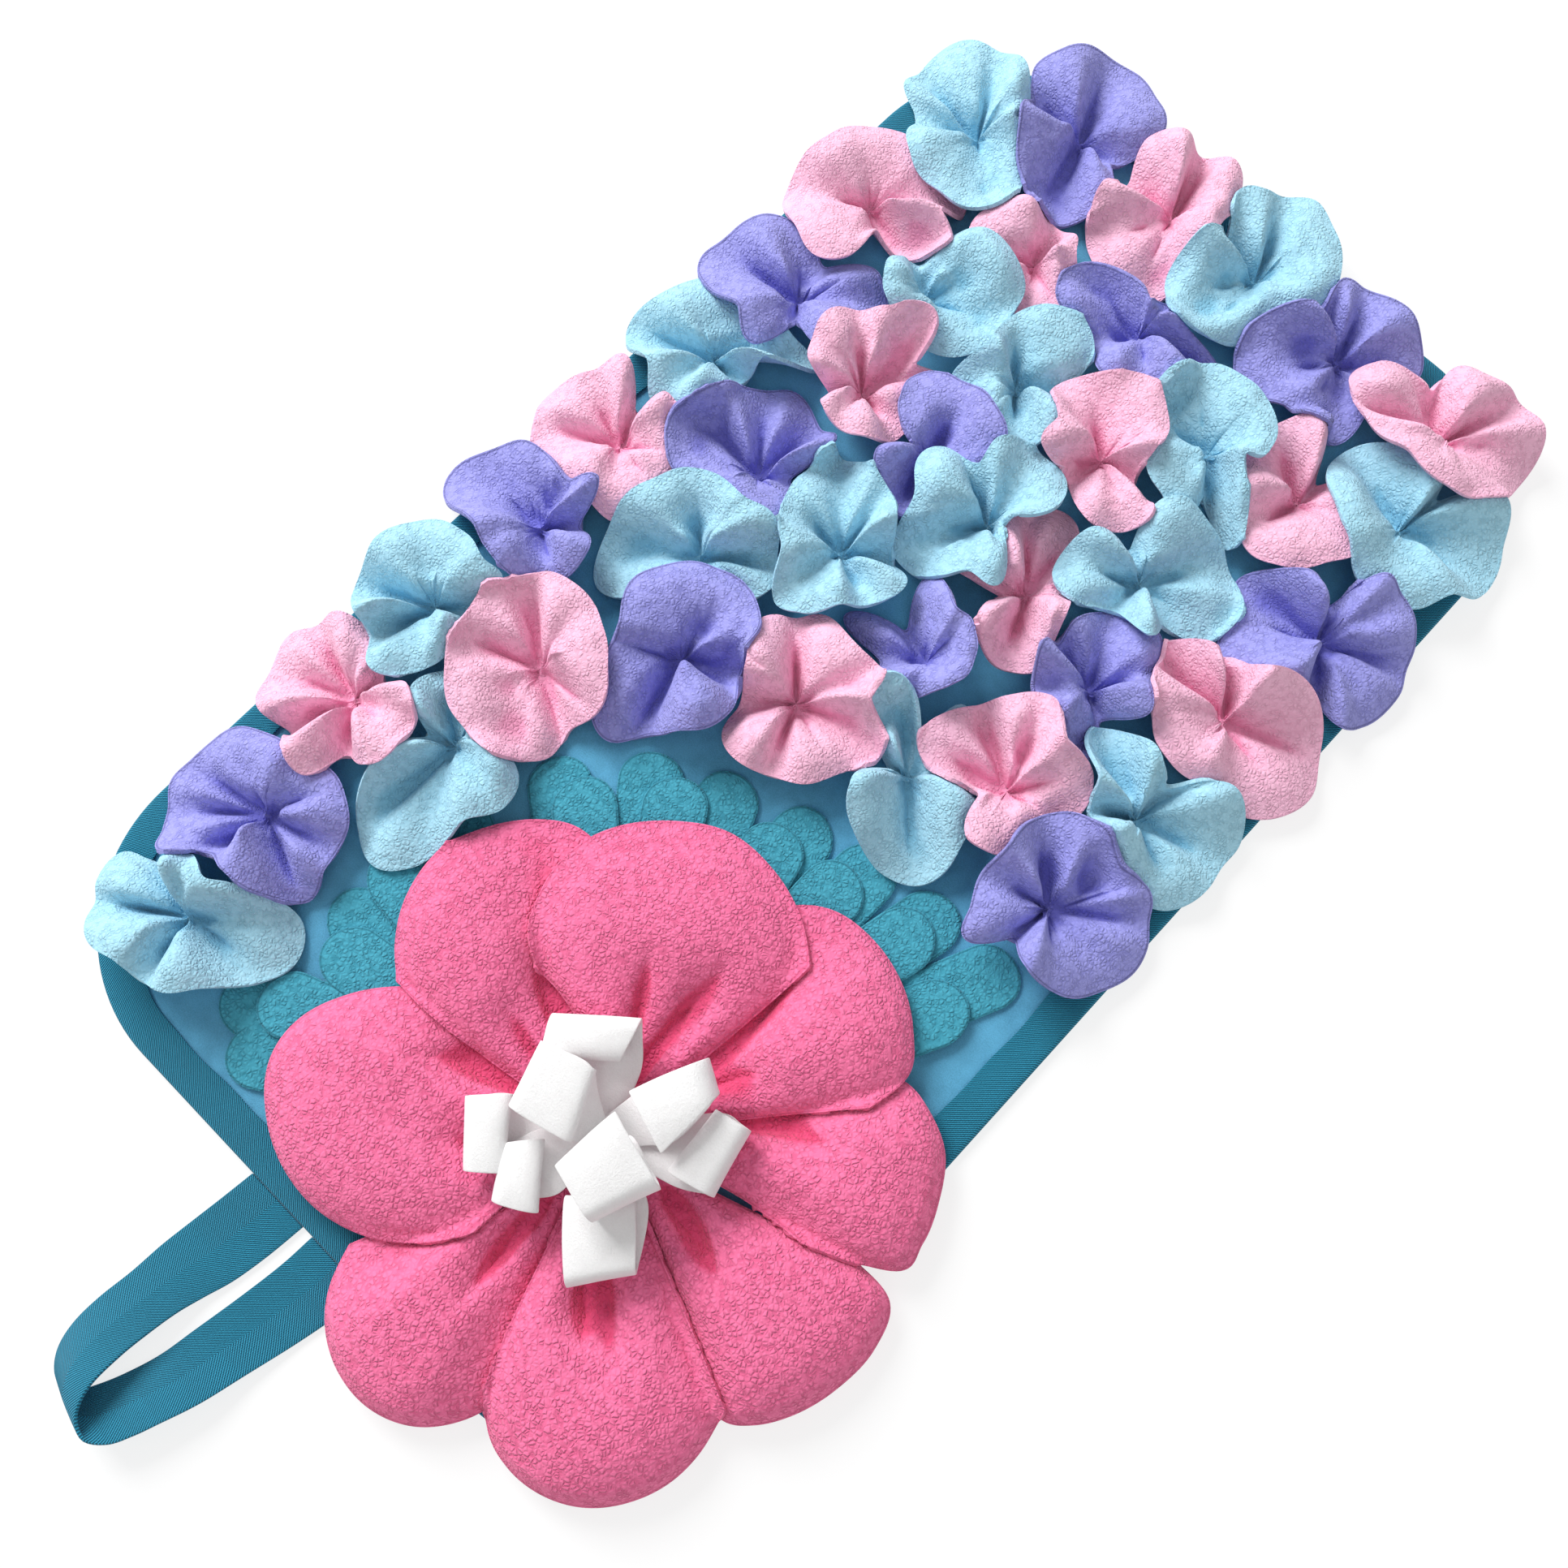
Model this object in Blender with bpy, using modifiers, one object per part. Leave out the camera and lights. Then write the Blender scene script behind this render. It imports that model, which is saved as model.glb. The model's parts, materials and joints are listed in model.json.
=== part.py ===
"""Snuffle mat: a felt mat bound in cotton tape, sewn all over with gathered fleece flowers.

One large flower of eight petals lies on two rings of round tongues, with curled white
strips at its heart, and a carrying strap of the same tape leaves the short end.

Frame: +X is the mat's short side, +Y its long side, +Z up, and the origin is the
middle of the underside. Tables are in millimetres and degrees (0 is +X, turning to +Y).
"""

import math
from dataclasses import dataclass, field

import bmesh
import bpy
import numpy as np

MM = 0.001

# Mat and binding.
MAT_WIDTH = 380.0
MAT_LENGTH = 670.0
CORNER_RADIUS = 86.0
CORNER_STEPS = 7
FELT_TOP = 3.0
TAPE = 1.0
TAPE_SHOWN = 18.0
GAP = 0.3
BINDING_TOP = FELT_TOP + GAP + TAPE

# Cloth pieces. Thickness and clearance are taken straight down.
FLEECE = 2.2
FLEECE_CLEAR = 0.7
EDGE_CLEAR = 2.0
FLOWER_CUT = 44.0
FLOWER_RIM_LOW = 7.0
FLOWER_RIM_HIGH = 33.0
FLOWER_DOME = 9.0
FLOWER_RINGS = (0.0, 0.36, 0.72, 1.0)
FOLD_STEP = 38.0
SAME_FOLD = 9.0
ROOT_CLEAR = 10.0
FLOWER_ROOT = FELT_TOP + GAP + FLEECE

# Large flower.
HEART = (72.0, -216.0)
TONGUE_DISC = 96.0
TONGUE_HALF_WIDTH = 15.5
TONGUE_THICKNESS = 2.0
TONGUE_LEVELS = (FELT_TOP + GAP, FELT_TOP + TONGUE_THICKNESS + 2 * GAP)
TONGUE_TOP = TONGUE_LEVELS[1] + TONGUE_THICKNESS
PETAL_ROOT_RADIUS = 9.0
PETAL_ROOT = TONGUE_TOP + GAP + FLEECE + 0.1
PETAL_STATIONS = (0.0, 0.2, 0.42, 0.66, 0.88, 1.0)
PETAL_SHAPE = ((0.0, 0.0), (0.2, 0.12), (0.42, 0.4), (0.66, 0.95), (0.88, 0.9), (1.0, 0.0))
PETAL_CREST = 26.0

# Curled strips.
STRIP_THICKNESS = 2.0
STRIP_PITCH = 2.9
STRIP_BASE = PETAL_ROOT + 2.7
STRIP_TAIL = 9.0
STRIP_NECK = 16.0
STRIP_PINCH = 14.0
STRIP_FAN = 4.0
STRIP_TURN = 4.0

# Strap.
STRAP_THICKNESS = 2.0

FELT_BLUE = (0.098, 0.392, 0.604)
TAPE_BLUE = (0.021, 0.219, 0.361)
TONGUE_BLUE = (0.067, 0.386, 0.502)
HOT_PINK = (0.863, 0.171, 0.352)
WHITE = (0.94, 0.94, 0.92)
BLUE = (0.371, 0.624, 0.738)
VIOLET = (0.333, 0.333, 0.708)
PINK = (0.877, 0.509, 0.658)


@dataclass
class Flower:
    """A gathered flower: its sewn middle, rim as (direction, reach) and creases as (direction, depth)."""

    number: int
    colour: tuple
    gather: tuple
    lobes: tuple
    notches: tuple = ()
    creases: tuple = ()


# In laying order: each flower lies on those above it in this table wherever they meet.
FLOWERS = (
    Flower(6, PINK, (-75, 234), ((30, 19), (145, 35), (210, 37), (250, 27), (305, 39), (330, 36)),
           ((105, 23),)),
    Flower(9, VIOLET, (-11, 239), ((20, 47), (40, 24), (135, 10), (175, 44), (200, 47), (280, 35), (305, 37),
           (350, 31)), ((225, 27),), ((16, 5),)),
    Flower(11, BLUE, (-155, 84), ((25, 24), (40, 50), (60, 41), (150, 42), (175, 41), (200, 49), (240, 33),
           (275, 40), (295, 31)), ((10, 16),), ((197, 5), (66, 4))),
    Flower(20, PINK, (103, 226), ((40, 20), (117, 38), (148, 42), (170, 44), (218, 34), (250, 39), (270, 41),
           (320, 37), (355, 36)), ((98, 18),), ((149, 4), (255, 4))),
    Flower(30, VIOLET, (27, 42), ((50, 21), (110, 25), (128, 42), (192, 46), (264, 31), (287, 23), (318, 20)),
           ((163, 22), (212, 26)), ((164, 8),)),
    Flower(37, BLUE, (-104, -140), ((15, 36), (57, 15), (150, 34), (175, 25), (243, 35), (265, 60), (281, 66),
           (298, 59), (326, 39), (353, 41)), ((204, 13),), ((270, 5),)),
    Flower(43, BLUE, (-134, -279), ((22, 55), (42, 51), (60, 37), (80, 23), (150, 30), (180, 44), (203, 43),
           (227, 41), (273, 30), (309, 35), (339, 37)), ((163, 24),), ((214, 4), (298, 4), (5, 4))),
    Flower(7, VIOLET, (-147, 136), ((10, 35), (40, 46), (62, 43), (137, 42), (166, 43), (197, 51), (250, 33),
           (279, 38), (332, 36)), ((98, 24), (313, 14)), ((183, 8), (129, 4))),
    Flower(8, BLUE, (-103, 183), ((17, 44), (44, 48), (85, 41), (213, 22), (272, 26), (316, 31), (345, 42)),
           ((141, 18),)),
    Flower(14, BLUE, (55, 214), ((105, 36), (136, 42), (177, 42), (230, 36), (266, 38), (291, 40), (320, 48),
           (345, 18)), ((308, 22),), ((183, 4),)),
    Flower(18, PINK, (-156, 19), ((24, 34), (83, 31), (123, 37), (154, 40), (194, 47), (227, 44), (257, 36),
           (286, 33), (310, 41), (351, 38)), ((108, 19),), ((161, 4), (205, 5))),
    Flower(19, VIOLET, (-96, 54), ((60, 38), (85, 43), (115, 46), (153, 42), (188, 47), (231, 38), (250, 29),
           (292, 26), (327, 34)), ((45, 20),), ((173, 4), (126, 4), (80, 8))),
    Flower(21, BLUE, (147, 249), ((5, 47), (30, 43), (68, 41), (97, 35), (126, 42), (162, 49), (182, 46),
           (236, 36), (287, 42), (318, 42), (338, 40)), ((82, 23),), ((154, 4), (22, 4), (1, 4))),
    Flower(26, PINK, (39, 100), ((95, 44), (123, 46), (144, 40), (173, 26), (203, 42), (261, 35), (296, 42),
           (315, 41), (331, 30), (348, 23)), ((75, 14), (221, 15)), ((134, 4), (98, 4), (291, 4))),
    Flower(28, VIOLET, (155, 178), ((9, 44), (37, 42), (71, 41), (93, 37), (161, 34), (179, 50), (204, 41),
           (224, 48), (270, 34), (318, 43), (338, 44)), ((109, 23), (303, 27)), ((176, 8), (204, 6),
           (23, 6))),
    Flower(39, BLUE, (58, -5), ((17, 35), (98, 42), (134, 42), (168, 34), (238, 29), (269, 38), (300, 47),
           (317, 53), (348, 41)), ((58, 12), (117, 18), (183, 16)), ((137, 8), (314, 5))),
    Flower(41, VIOLET, (-144, -223), ((3, 42), (31, 42), (59, 40), (85, 35), (109, 33), (154, 42), (178, 45),
           (205, 48), (232, 47), (251, 44), (298, 31), (324, 40), (339, 46)), ((264, 31),),
           ((190, 4), (221, 4), (15, 4))),
    Flower(3, PINK, (-157, 200), ((8, 48), (24, 36), (40, 48), (132, 42), (182, 40), (210, 45), (241, 42),
           (296, 41)), ((327, 23),), ((347, 5),)),
    Flower(12, PINK, (-90, 122), ((7, 33), (57, 46), (84, 50), (115, 38), (151, 37), (216, 26), (260, 26),
           (286, 31), (327, 35)), ((69, 30), (243, 16)), ((138, 4), (84, 8), (339, 4))),
    Flower(13, BLUE, (-36, 176), ((69, 42), (111, 42), (186, 21), (221, 34), (276, 29), (314, 37), (345, 32)),
           ((36, 20),), ((137, 4), (307, 4))),
    Flower(25, BLUE, (-88, 6), ((0, 36), (19, 41), (46, 39), (85, 29), (138, 38), (187, 42), (218, 50),
           (241, 52), (267, 35), (316, 30)), (), ((135, 5), (221, 8), (37, 7))),
    Flower(33, VIOLET, (92, 84), ((3, 27), (38, 23), (81, 41), (115, 42), (154, 31), (188, 30), (224, 29),
           (268, 28), (300, 38)), ((171, 26), (336, 15)), ((152, 4), (116, 4), (54, 4))),
    Flower(34, PINK, (-155, -157), ((18, 37), (45, 31), (90, 26), (147, 40), (177, 46), (207, 45), (235, 42),
           (273, 38), (293, 43), (329, 37)), ((71, 16), (254, 33), (311, 28)), ((165, 4), (203, 4))),
    Flower(35, PINK, (-4, -15), ((16, 46), (34, 34), (56, 42), (78, 36), (120, 42), (146, 42), (197, 26),
           (258, 41), (283, 40), (314, 41), (346, 42)), ((226, 27),), ((134, 4), (292, 4))),
    Flower(1, BLUE, (-144, 268), ((25, 18), (104, 35), (135, 42), (162, 45), (181, 47), (239, 40), (274, 42),
           (326, 47)), ((196, 36),), ((120, 4), (172, 8))),
    Flower(17, VIOLET, (-41, 118), ((5, 22), (45, 35), (138, 45), (230, 28), (287, 37), (309, 32), (334, 29)),
           ((200, 10),), ((105, 4), (279, 8))),
    Flower(27, BLUE, (74, 142), ((2, 45), (32, 48), (85, 42), (119, 38), (187, 33), (211, 42), (239, 42),
           (313, 33)), ((155, 16), (268, 22), (337, 24)), ((57, 4), (6, 4))),
    Flower(29, BLUE, (-161, -100), ((58, 36), (75, 32), (143, 40), (176, 39), (210, 41), (244, 32), (279, 42),
           (307, 38), (354, 24)), ((41, 21), (260, 31)), ((203, 8),)),
    Flower(31, VIOLET, (-58, -37), ((10, 35), (61, 40), (91, 45), (126, 46), (159, 42), (215, 31), (243, 42),
           (275, 52), (306, 40), (357, 38)), ((35, 30), (288, 41)), ((216, 4), (13, 8))),
    Flower(36, PINK, (147, 117), ((28, 48), (56, 40), (104, 23), (149, 33), (165, 46), (192, 41), (227, 38),
           (261, 39), (286, 36), (322, 46), (337, 51), (359, 52)), ((128, 30),), ((181, 8), (21, 5))),
    Flower(38, PINK, (96, 22), ((18, 33), (47, 37), (88, 29), (109, 44), (136, 42), (172, 46), (197, 48),
           (274, 34), (298, 34), (334, 28)), ((233, 16),), ((149, 5), (193, 4))),
    Flower(2, VIOLET, (-105, 303), ((48, 42), (76, 43), (110, 42), (145, 38), (163, 42), (220, 34), (248, 39),
           (288, 51), (332, 40)), ((184, 30), (352, 25)), ((115, 4), (283, 6))),
    Flower(22, BLUE, (2, 113), ((15, 12), (68, 40), (102, 42), (130, 36), (166, 42), (213, 39), (239, 49),
           (257, 45), (287, 34), (318, 36)), ((149, 26), (335, 14)), ((231, 4),)),
    Flower(23, BLUE, (-40, 53), ((8, 37), (63, 28), (111, 41), (131, 49), (160, 41), (219, 29), (243, 30),
           (266, 42), (284, 39), (319, 33)), ((40, 25),), ((176, 4), (92, 4), (331, 4))),
    Flower(24, VIOLET, (-154, -37), ((10, 33), (67, 34), (147, 42), (174, 44), (200, 49), (226, 32),
           (265, 28), (286, 31), (325, 34)), ((48, 21), (92, 24)), ((178, 8), (153, 4), (333, 4))),
    Flower(32, PINK, (-103, -86), ((52, 34), (88, 37), (129, 42), (168, 42), (207, 40), (239, 43), (270, 46),
           (299, 48), (321, 44), (357, 39)), ((337, 34),), ((204, 4), (138, 4), (2, 4))),
    Flower(40, BLUE, (148, 53), ((31, 48), (63, 42), (132, 34), (148, 44), (165, 44), (181, 30), (237, 25),
           (284, 25), (306, 35), (329, 44), (358, 44)), ((81, 22),), ((215, 8), (15, 4))),
    Flower(4, PINK, (-42, 302), ((15, 24), (83, 39), (122, 37), (152, 40), (209, 40), (233, 44), (269, 49),
           (301, 46), (324, 34)), ((190, 29),), ((113, 8),)),
    Flower(15, PINK, (19, 177), ((22, 20), (103, 41), (138, 40), (163, 43), (198, 28), (227, 33), (300, 39),
           (324, 42), (341, 39)), ((4, 19), (253, 21)), ((144, 4),)),
    Flower(42, VIOLET, (146, -6), ((24, 48), (54, 45), (106, 42), (136, 44), (173, 33), (224, 38), (247, 41),
           (278, 30), (312, 39), (353, 45)), ((71, 36), (262, 23)), ((142, 8), (196, 4), (35, 4))),
    Flower(5, BLUE, (12, 304), ((58, 38), (94, 40), (130, 39), (149, 42), (198, 35), (225, 47), (255, 54),
           (290, 42), (307, 35), (355, 34)), ((173, 24),), ((117, 4),)),
    Flower(10, VIOLET, (70, 297), ((38, 40), (74, 36), (116, 36), (134, 37), (186, 30), (206, 48), (241, 51),
           (263, 42), (308, 43), (342, 27)), ((158, 27),), ((160, 8), (113, 4))),
    Flower(16, PINK, (132, 295), ((24, 44), (50, 41), (81, 40), (119, 41), (169, 49), (188, 53), (210, 42),
           (246, 29), (296, 31), (340, 38)), ((136, 27),), ((71, 4), (200, 6))),
)


@dataclass
class Petal:
    """A petal of the large flower: its root's span, its rim as (direction, reach) and its rim's height."""

    number: int
    root: tuple
    rim: tuple
    rim_height: float
    creases: tuple = ()


# In laying order, from the petals that lie lowest to the one on top.
PETALS = (
    Petal(5, (342, 18), ((335, 108), (338, 126), (343, 134), (350, 140), (358, 144), (7, 146), (15, 141),
          (19, 118)), 12.0, ((358, 4),)),
    Petal(7, (250, 286), ((246, 118), (252, 132), (258, 141), (265, 146), (273, 146), (281, 140), (288, 128),
          (294, 112)), 12.0, ((271, 4),)),
    Petal(4, (24, 52), ((17, 96), (20, 138), (26, 145), (33, 148), (41, 149), (48, 143), (54, 134),
          (59, 116)), 13.0, ((46, 5),)),
    Petal(6, (290, 338), ((289, 112), (293, 129), (299, 140), (307, 147), (315, 149), (324, 145), (332, 136),
          (340, 122)), 11.0, ((307, 6),)),
    Petal(3, (56, 90), ((50, 116), (55, 136), (62, 143), (70, 147), (79, 147), (88, 142), (95, 130),
          (101, 112)), 14.0, ((82, 5),)),
    Petal(8, (192, 246), ((183, 98), (188, 112), (195, 130), (203, 146), (211, 152), (220, 148), (230, 138),
          (240, 122), (250, 98), (258, 70)), 14.0, ((200, 5),)),
    Petal(1, (138, 188), ((133, 120), (140, 138), (148, 146), (157, 149), (166, 148), (175, 140), (182, 129),
          (188, 116)), 15.0, ((170, 4),)),
    Petal(2, (92, 134), ((85, 116), (93, 129), (102, 139), (112, 145), (122, 143), (132, 138), (141, 129),
          (149, 115)), 17.0, ((117, 4),)),
)

# Round tongues under the large flower, as (direction, distance of the round end's centre).
TONGUES_LONG = ((211, 160), (204, 171), (184, 150), (161, 160), (143, 160), (128, 161), (115, 159),
                (101, 159), (89, 164), (77, 172), (66, 184))
TONGUES_SHORT = ((202, 154), (190, 140), (174, 151), (139, 148), (123, 150), (104, 145), (91, 147), (77, 158),
                 (64, 156))


@dataclass
class Curl:
    """One curled end of a white strip: heading, shift, width, and where its loop starts, ends and stands."""

    heading: float
    shift: float
    width: float
    inner: float
    outer: float
    low: float
    high: float
    turned_in: bool = True


# Strips in laying order, each with its two curled ends.
STRIPS = (
    (Curl(118, 14, 42, 21, 44, 21.5, 33), Curl(322, -5, 31, 24, 59, 22.5, 33)),
    (Curl(223, -2, 35, 40, 57, 22.5, 34), Curl(20, 12.5, 33, 38, 54, 22.5, 35)),
    (Curl(226, 12, 30, 23, 37.5, 25, 34.5), Curl(80, -5.5, 23, 22, 54, 27, 45, False)),
    (Curl(199, -11, 36, 12, 38, 37.5, 47), Curl(345, -3, 36, -4, 30, 37, 54, False)),
)


@dataclass
class StrapStation:
    """A section across the strap: its edge on the floor and its other edge, as (x, y, height)."""

    floor_edge: tuple
    free_edge: tuple


STRAP = (
    StrapStation((-30, -335.4, 1.4), (3, -335.4, 1.4)),
    StrapStation((-32, -352, 1.4), (1, -354, 1.4)),
    StrapStation((-34, -367, 1.4), (-2, -371, 1.6)),
    StrapStation((-36, -383, 1.4), (-6, -384, 3.0)),
    StrapStation((-37, -399, 1.4), (-9, -395, 6.0)),
    StrapStation((-39, -416, 1.4), (-11, -408, 9.0)),
    StrapStation((-39, -430, 1.4), (-12, -421, 13.0)),
    StrapStation((-36, -441, 1.4), (-11, -435, 18.0)),
    StrapStation((-30, -448, 1.4), (-6, -446, 18.5)),
    StrapStation((-23, -450, 1.4), (3, -451, 16.0)),
    StrapStation((-17, -447, 1.4), (11, -446, 14.5)),
    StrapStation((-12, -439, 1.4), (16, -437, 13.5)),
    StrapStation((-7, -428, 1.4), (20, -427, 12.5)),
    StrapStation((-2, -413, 1.4), (26, -411, 10.0)),
    StrapStation((1, -396, 1.4), (31, -392, 5.0)),
    StrapStation((5, -373, 1.4), (37, -369, 1.8)),
    StrapStation((8, -352, 1.4), (41, -350, 1.4)),
    StrapStation((9, -335.4, 1.4), (42, -335.4, 1.4)),
)


@dataclass
class Sheet:
    """A cloth piece seen from above, with one height at each point of its triangles."""

    name: str
    plan: np.ndarray
    heights: np.ndarray
    triangles: np.ndarray
    give: np.ndarray
    clear: float
    mesh: object = None
    colour: tuple = field(default=WHITE)

    def edges(self):
        """The triangles' edges, each once, as pairs of point numbers."""
        pairs = np.concatenate([self.triangles[:, columns] for columns in ([0, 1], [1, 2], [2, 0])])
        return np.unique(np.sort(pairs, axis=1), axis=0)


def heading(degrees):
    """The unit direction in plan."""
    return np.array((math.cos(math.radians(degrees)), math.sin(math.radians(degrees))))


def clear_scene():
    """Removes every object of the open scene."""
    for obj in list(bpy.data.objects):
        bpy.data.objects.remove(obj, do_unlink=True)


def collection(name, hidden=False):
    """A new collection in the scene."""
    made = bpy.data.collections.new(name)
    made.hide_render = hidden
    bpy.context.scene.collection.children.link(made)
    return made


def material(name, colour, roughness):
    """A plain cloth material."""
    made = bpy.data.materials.new(name)
    made.use_nodes = True
    shader = made.node_tree.nodes["Principled BSDF"]
    shader.inputs["Base Color"].default_value = (*colour, 1.0)
    shader.inputs["Roughness"].default_value = roughness
    shader.inputs["Metallic"].default_value = 0.0
    return made


def add_object(name, bm, colour, into, roughness=0.95):
    """Makes an object of a mesh drawn in millimetres, and frees the mesh."""
    bmesh.ops.scale(bm, vec=(MM, MM, MM), verts=bm.verts)
    mesh = bpy.data.meshes.new(name)
    bm.to_mesh(mesh)
    bm.free()
    obj = bpy.data.objects.new(name, mesh)
    mesh.materials.append(material(name, colour, roughness))
    into.objects.link(obj)
    return obj


def mat_outline(inset):
    """The mat's rounded outline, drawn in from its edge by inset."""
    radius = CORNER_RADIUS - inset
    points = []
    for corner, (side_x, side_y) in enumerate(((1, 1), (-1, 1), (-1, -1), (1, -1))):
        middle = np.array(
            (side_x * (MAT_WIDTH / 2 - CORNER_RADIUS), side_y * (MAT_LENGTH / 2 - CORNER_RADIUS))
        )
        for step in range(CORNER_STEPS + 1):
            points.append(middle + radius * heading(90.0 * (corner + step / CORNER_STEPS)))
    return np.array(points)


def outline_body(sections, closed):
    """Lofts the mat's outline through (inset, height) sections, closed in a ring or capped at both ends."""
    bm = bmesh.new()
    loops = [[bm.verts.new((x, y, height)) for x, y in mat_outline(inset)] for inset, height in sections]
    pairs = list(zip(loops, loops[1:]))
    if closed:
        pairs.append((loops[-1], loops[0]))
    else:
        bm.faces.new(loops[0])
        bm.faces.new(loops[-1])
    for first, second in pairs:
        for place, corner in enumerate(first):
            bm.faces.new((first[place - 1], corner, second[place], second[place - 1]))
    bmesh.ops.recalc_face_normals(bm, faces=bm.faces)
    return bm


def build_base(into):
    """The felt mat, thinner under its rim where the binding passes below."""
    edge = TAPE + GAP
    step = TAPE_SHOWN + GAP
    sections = ((step, 0.0), (step, TAPE + GAP), (edge, TAPE + GAP), (edge, FELT_TOP))
    add_object("base_felt", outline_body(sections, closed=False), FELT_BLUE, into)


def build_binding(into):
    """The tape folded round the mat's edge."""
    sections = (
        (TAPE_SHOWN, 0.0), (0.0, 0.0), (0.0, BINDING_TOP), (TAPE_SHOWN, BINDING_TOP),
        (TAPE_SHOWN, BINDING_TOP - TAPE), (TAPE, BINDING_TOP - TAPE), (TAPE, TAPE), (TAPE_SHOWN, TAPE),
    )
    add_object("edge_binding", outline_body(sections, closed=True), TAPE_BLUE, into)


def fixed_sheet(name, plan, triangles, top, clear):
    """A flat surface that the flowers lie on."""
    count = len(plan)
    return Sheet(name, np.array(plan), np.full(count, top), np.array(triangles), np.zeros(count), clear)


def binding_sheet():
    """The binding's upper face."""
    outer, inner = mat_outline(0.0), mat_outline(TAPE_SHOWN)
    count = len(outer)
    triangles = []
    for i in range(count):
        j = (i + 1) % count
        triangles += [(i, j, count + i), (j, count + j, count + i)]
    return fixed_sheet("binding", np.concatenate([outer, inner]), triangles, BINDING_TOP, EDGE_CLEAR)


def tongue_outline(tongues):
    """A disc with a round-ended tongue in each given direction, as points round the heart."""
    rays = set(range(0, 360, 15))
    for direction, distance in tongues:
        side = math.degrees(math.asin(TONGUE_HALF_WIDTH / distance))
        rays = {ray for ray in rays if abs((ray - direction + 180) % 360 - 180) > side + 1}
        shares = (-1.02, -0.99, -0.8, -0.45, 0, 0.45, 0.8, 0.99, 1.02)
        rays |= {round(direction + side * share, 2) % 360 for share in shares}
    points = []
    for ray in sorted(rays):
        reach = TONGUE_DISC
        for direction, distance in tongues:
            turn = math.radians((ray - direction + 180) % 360 - 180)
            off_axis = distance * math.sin(turn)
            if abs(turn) < 1 and abs(off_axis) < TONGUE_HALF_WIDTH:
                end = distance * math.cos(turn) + math.sqrt(TONGUE_HALF_WIDTH**2 - off_axis**2)
                reach = max(reach, end)
        points.append(np.array(HEART) + reach * heading(ray))
    return np.array(points)


def build_tongues(name, tongues, bottom, into):
    """One flat layer of tongues, cut from a single piece."""
    outline = tongue_outline(tongues)
    bm = bmesh.new()
    corners = [bm.verts.new((x, y, bottom)) for x, y in outline]
    face = bm.faces.new(corners)
    grown = bmesh.ops.extrude_face_region(bm, geom=[face], use_keep_orig=True)
    lifted = [part for part in grown["geom"] if isinstance(part, bmesh.types.BMVert)]
    bmesh.ops.translate(bm, vec=(0, 0, TONGUE_THICKNESS), verts=lifted)
    bmesh.ops.recalc_face_normals(bm, faces=bm.faces)
    add_object(name, bm, TONGUE_BLUE, into)
    count = len(outline)
    triangles = [(i, (i + 1) % count, count) for i in range(count)]
    plan = np.concatenate([outline, [HEART]])
    return fixed_sheet(name, plan, triangles, bottom + TONGUE_THICKNESS, GAP)


def disc_mesh(rays, rings):
    """A flat unit disc of triangles, spun from a spoke, with the ray and ring of each point."""
    bm = bmesh.new()
    spoke = [bm.verts.new((ring / rings, 0, 0)) for ring in range(rings + 1)]
    lines = [bm.edges.new(pair) for pair in zip(spoke, spoke[1:])]
    bmesh.ops.spin(bm, geom=spoke + lines, axis=(0, 0, 1), cent=(0, 0, 0), steps=rays, angle=math.tau,
                   use_merge=True)
    bmesh.ops.remove_doubles(bm, verts=bm.verts, dist=1e-4)
    bmesh.ops.triangulate(bm, faces=bm.faces)
    places = []
    for vert in bm.verts:
        ray = round(math.atan2(vert.co.y, vert.co.x) / math.tau * rays) % rays
        places.append((ray, round(vert.co.xy.length * rings)))
    return bm, places


def mesh_triangles(bm):
    """The triangles of a mesh as point numbers."""
    bm.verts.index_update()
    return np.array([[vert.index for vert in face.verts] for face in bm.faces])


def rim_height(reach):
    """A lobe that reaches less far stands higher, because all flowers are cut alike."""
    spare = math.sqrt(max(0.0, FLOWER_CUT**2 - reach**2))
    return min(FLOWER_RIM_HIGH, FLOWER_RIM_LOW + 0.8 * spare)


def flower_folds(flower):
    """The flower's folds round its rim, each as (direction, reach, rim height, dome)."""
    folds = [(angle, reach, rim_height(reach), FLOWER_DOME) for angle, reach in flower.lobes]
    folds += [
        (angle, reach, max(FLOWER_RIM_LOW, 22.0 - 0.5 * reach), 0.0) for angle, reach in flower.notches
    ]
    folds.sort()
    for angle, depth in flower.creases:
        place, (reach, height, dome) = between(folds, angle)
        sunk = (reach - 0.3 * depth, max(FLOWER_RIM_LOW, height - depth), dome - 1.6 * depth)
        if place is None:
            folds.append((angle, *sunk))
            folds.sort()
        else:
            folds[place] = (folds[place][0], *sunk)
    filled = []
    for fold, following in zip(folds, folds[1:] + folds[:1]):
        step = (following[0] - fold[0]) % 360
        parts = max(1, round(step / FOLD_STEP))
        for part in range(parts):
            share = part / parts
            mixed = [a + (b - a) * share for a, b in zip(fold[1:], following[1:])]
            filled.append(((fold[0] + step * share) % 360, *mixed))
    return sorted(filled)


def between(folds, angle):
    """The fold at this direction and its place, or the folds' values mixed at it and None."""
    for place, fold in enumerate(folds):
        if abs((fold[0] - angle + 180) % 360 - 180) < SAME_FOLD:
            return place, fold[1:]
    ends = zip(folds, folds[1:] + folds[:1])
    before, after = next((a, b) for a, b in ends if (angle - a[0]) % 360 <= (b[0] - a[0]) % 360)
    share = ((angle - before[0]) % 360) / ((after[0] - before[0]) % 360)
    return None, tuple(a + (b - a) * share for a, b in zip(before[1:], after[1:]))


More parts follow.
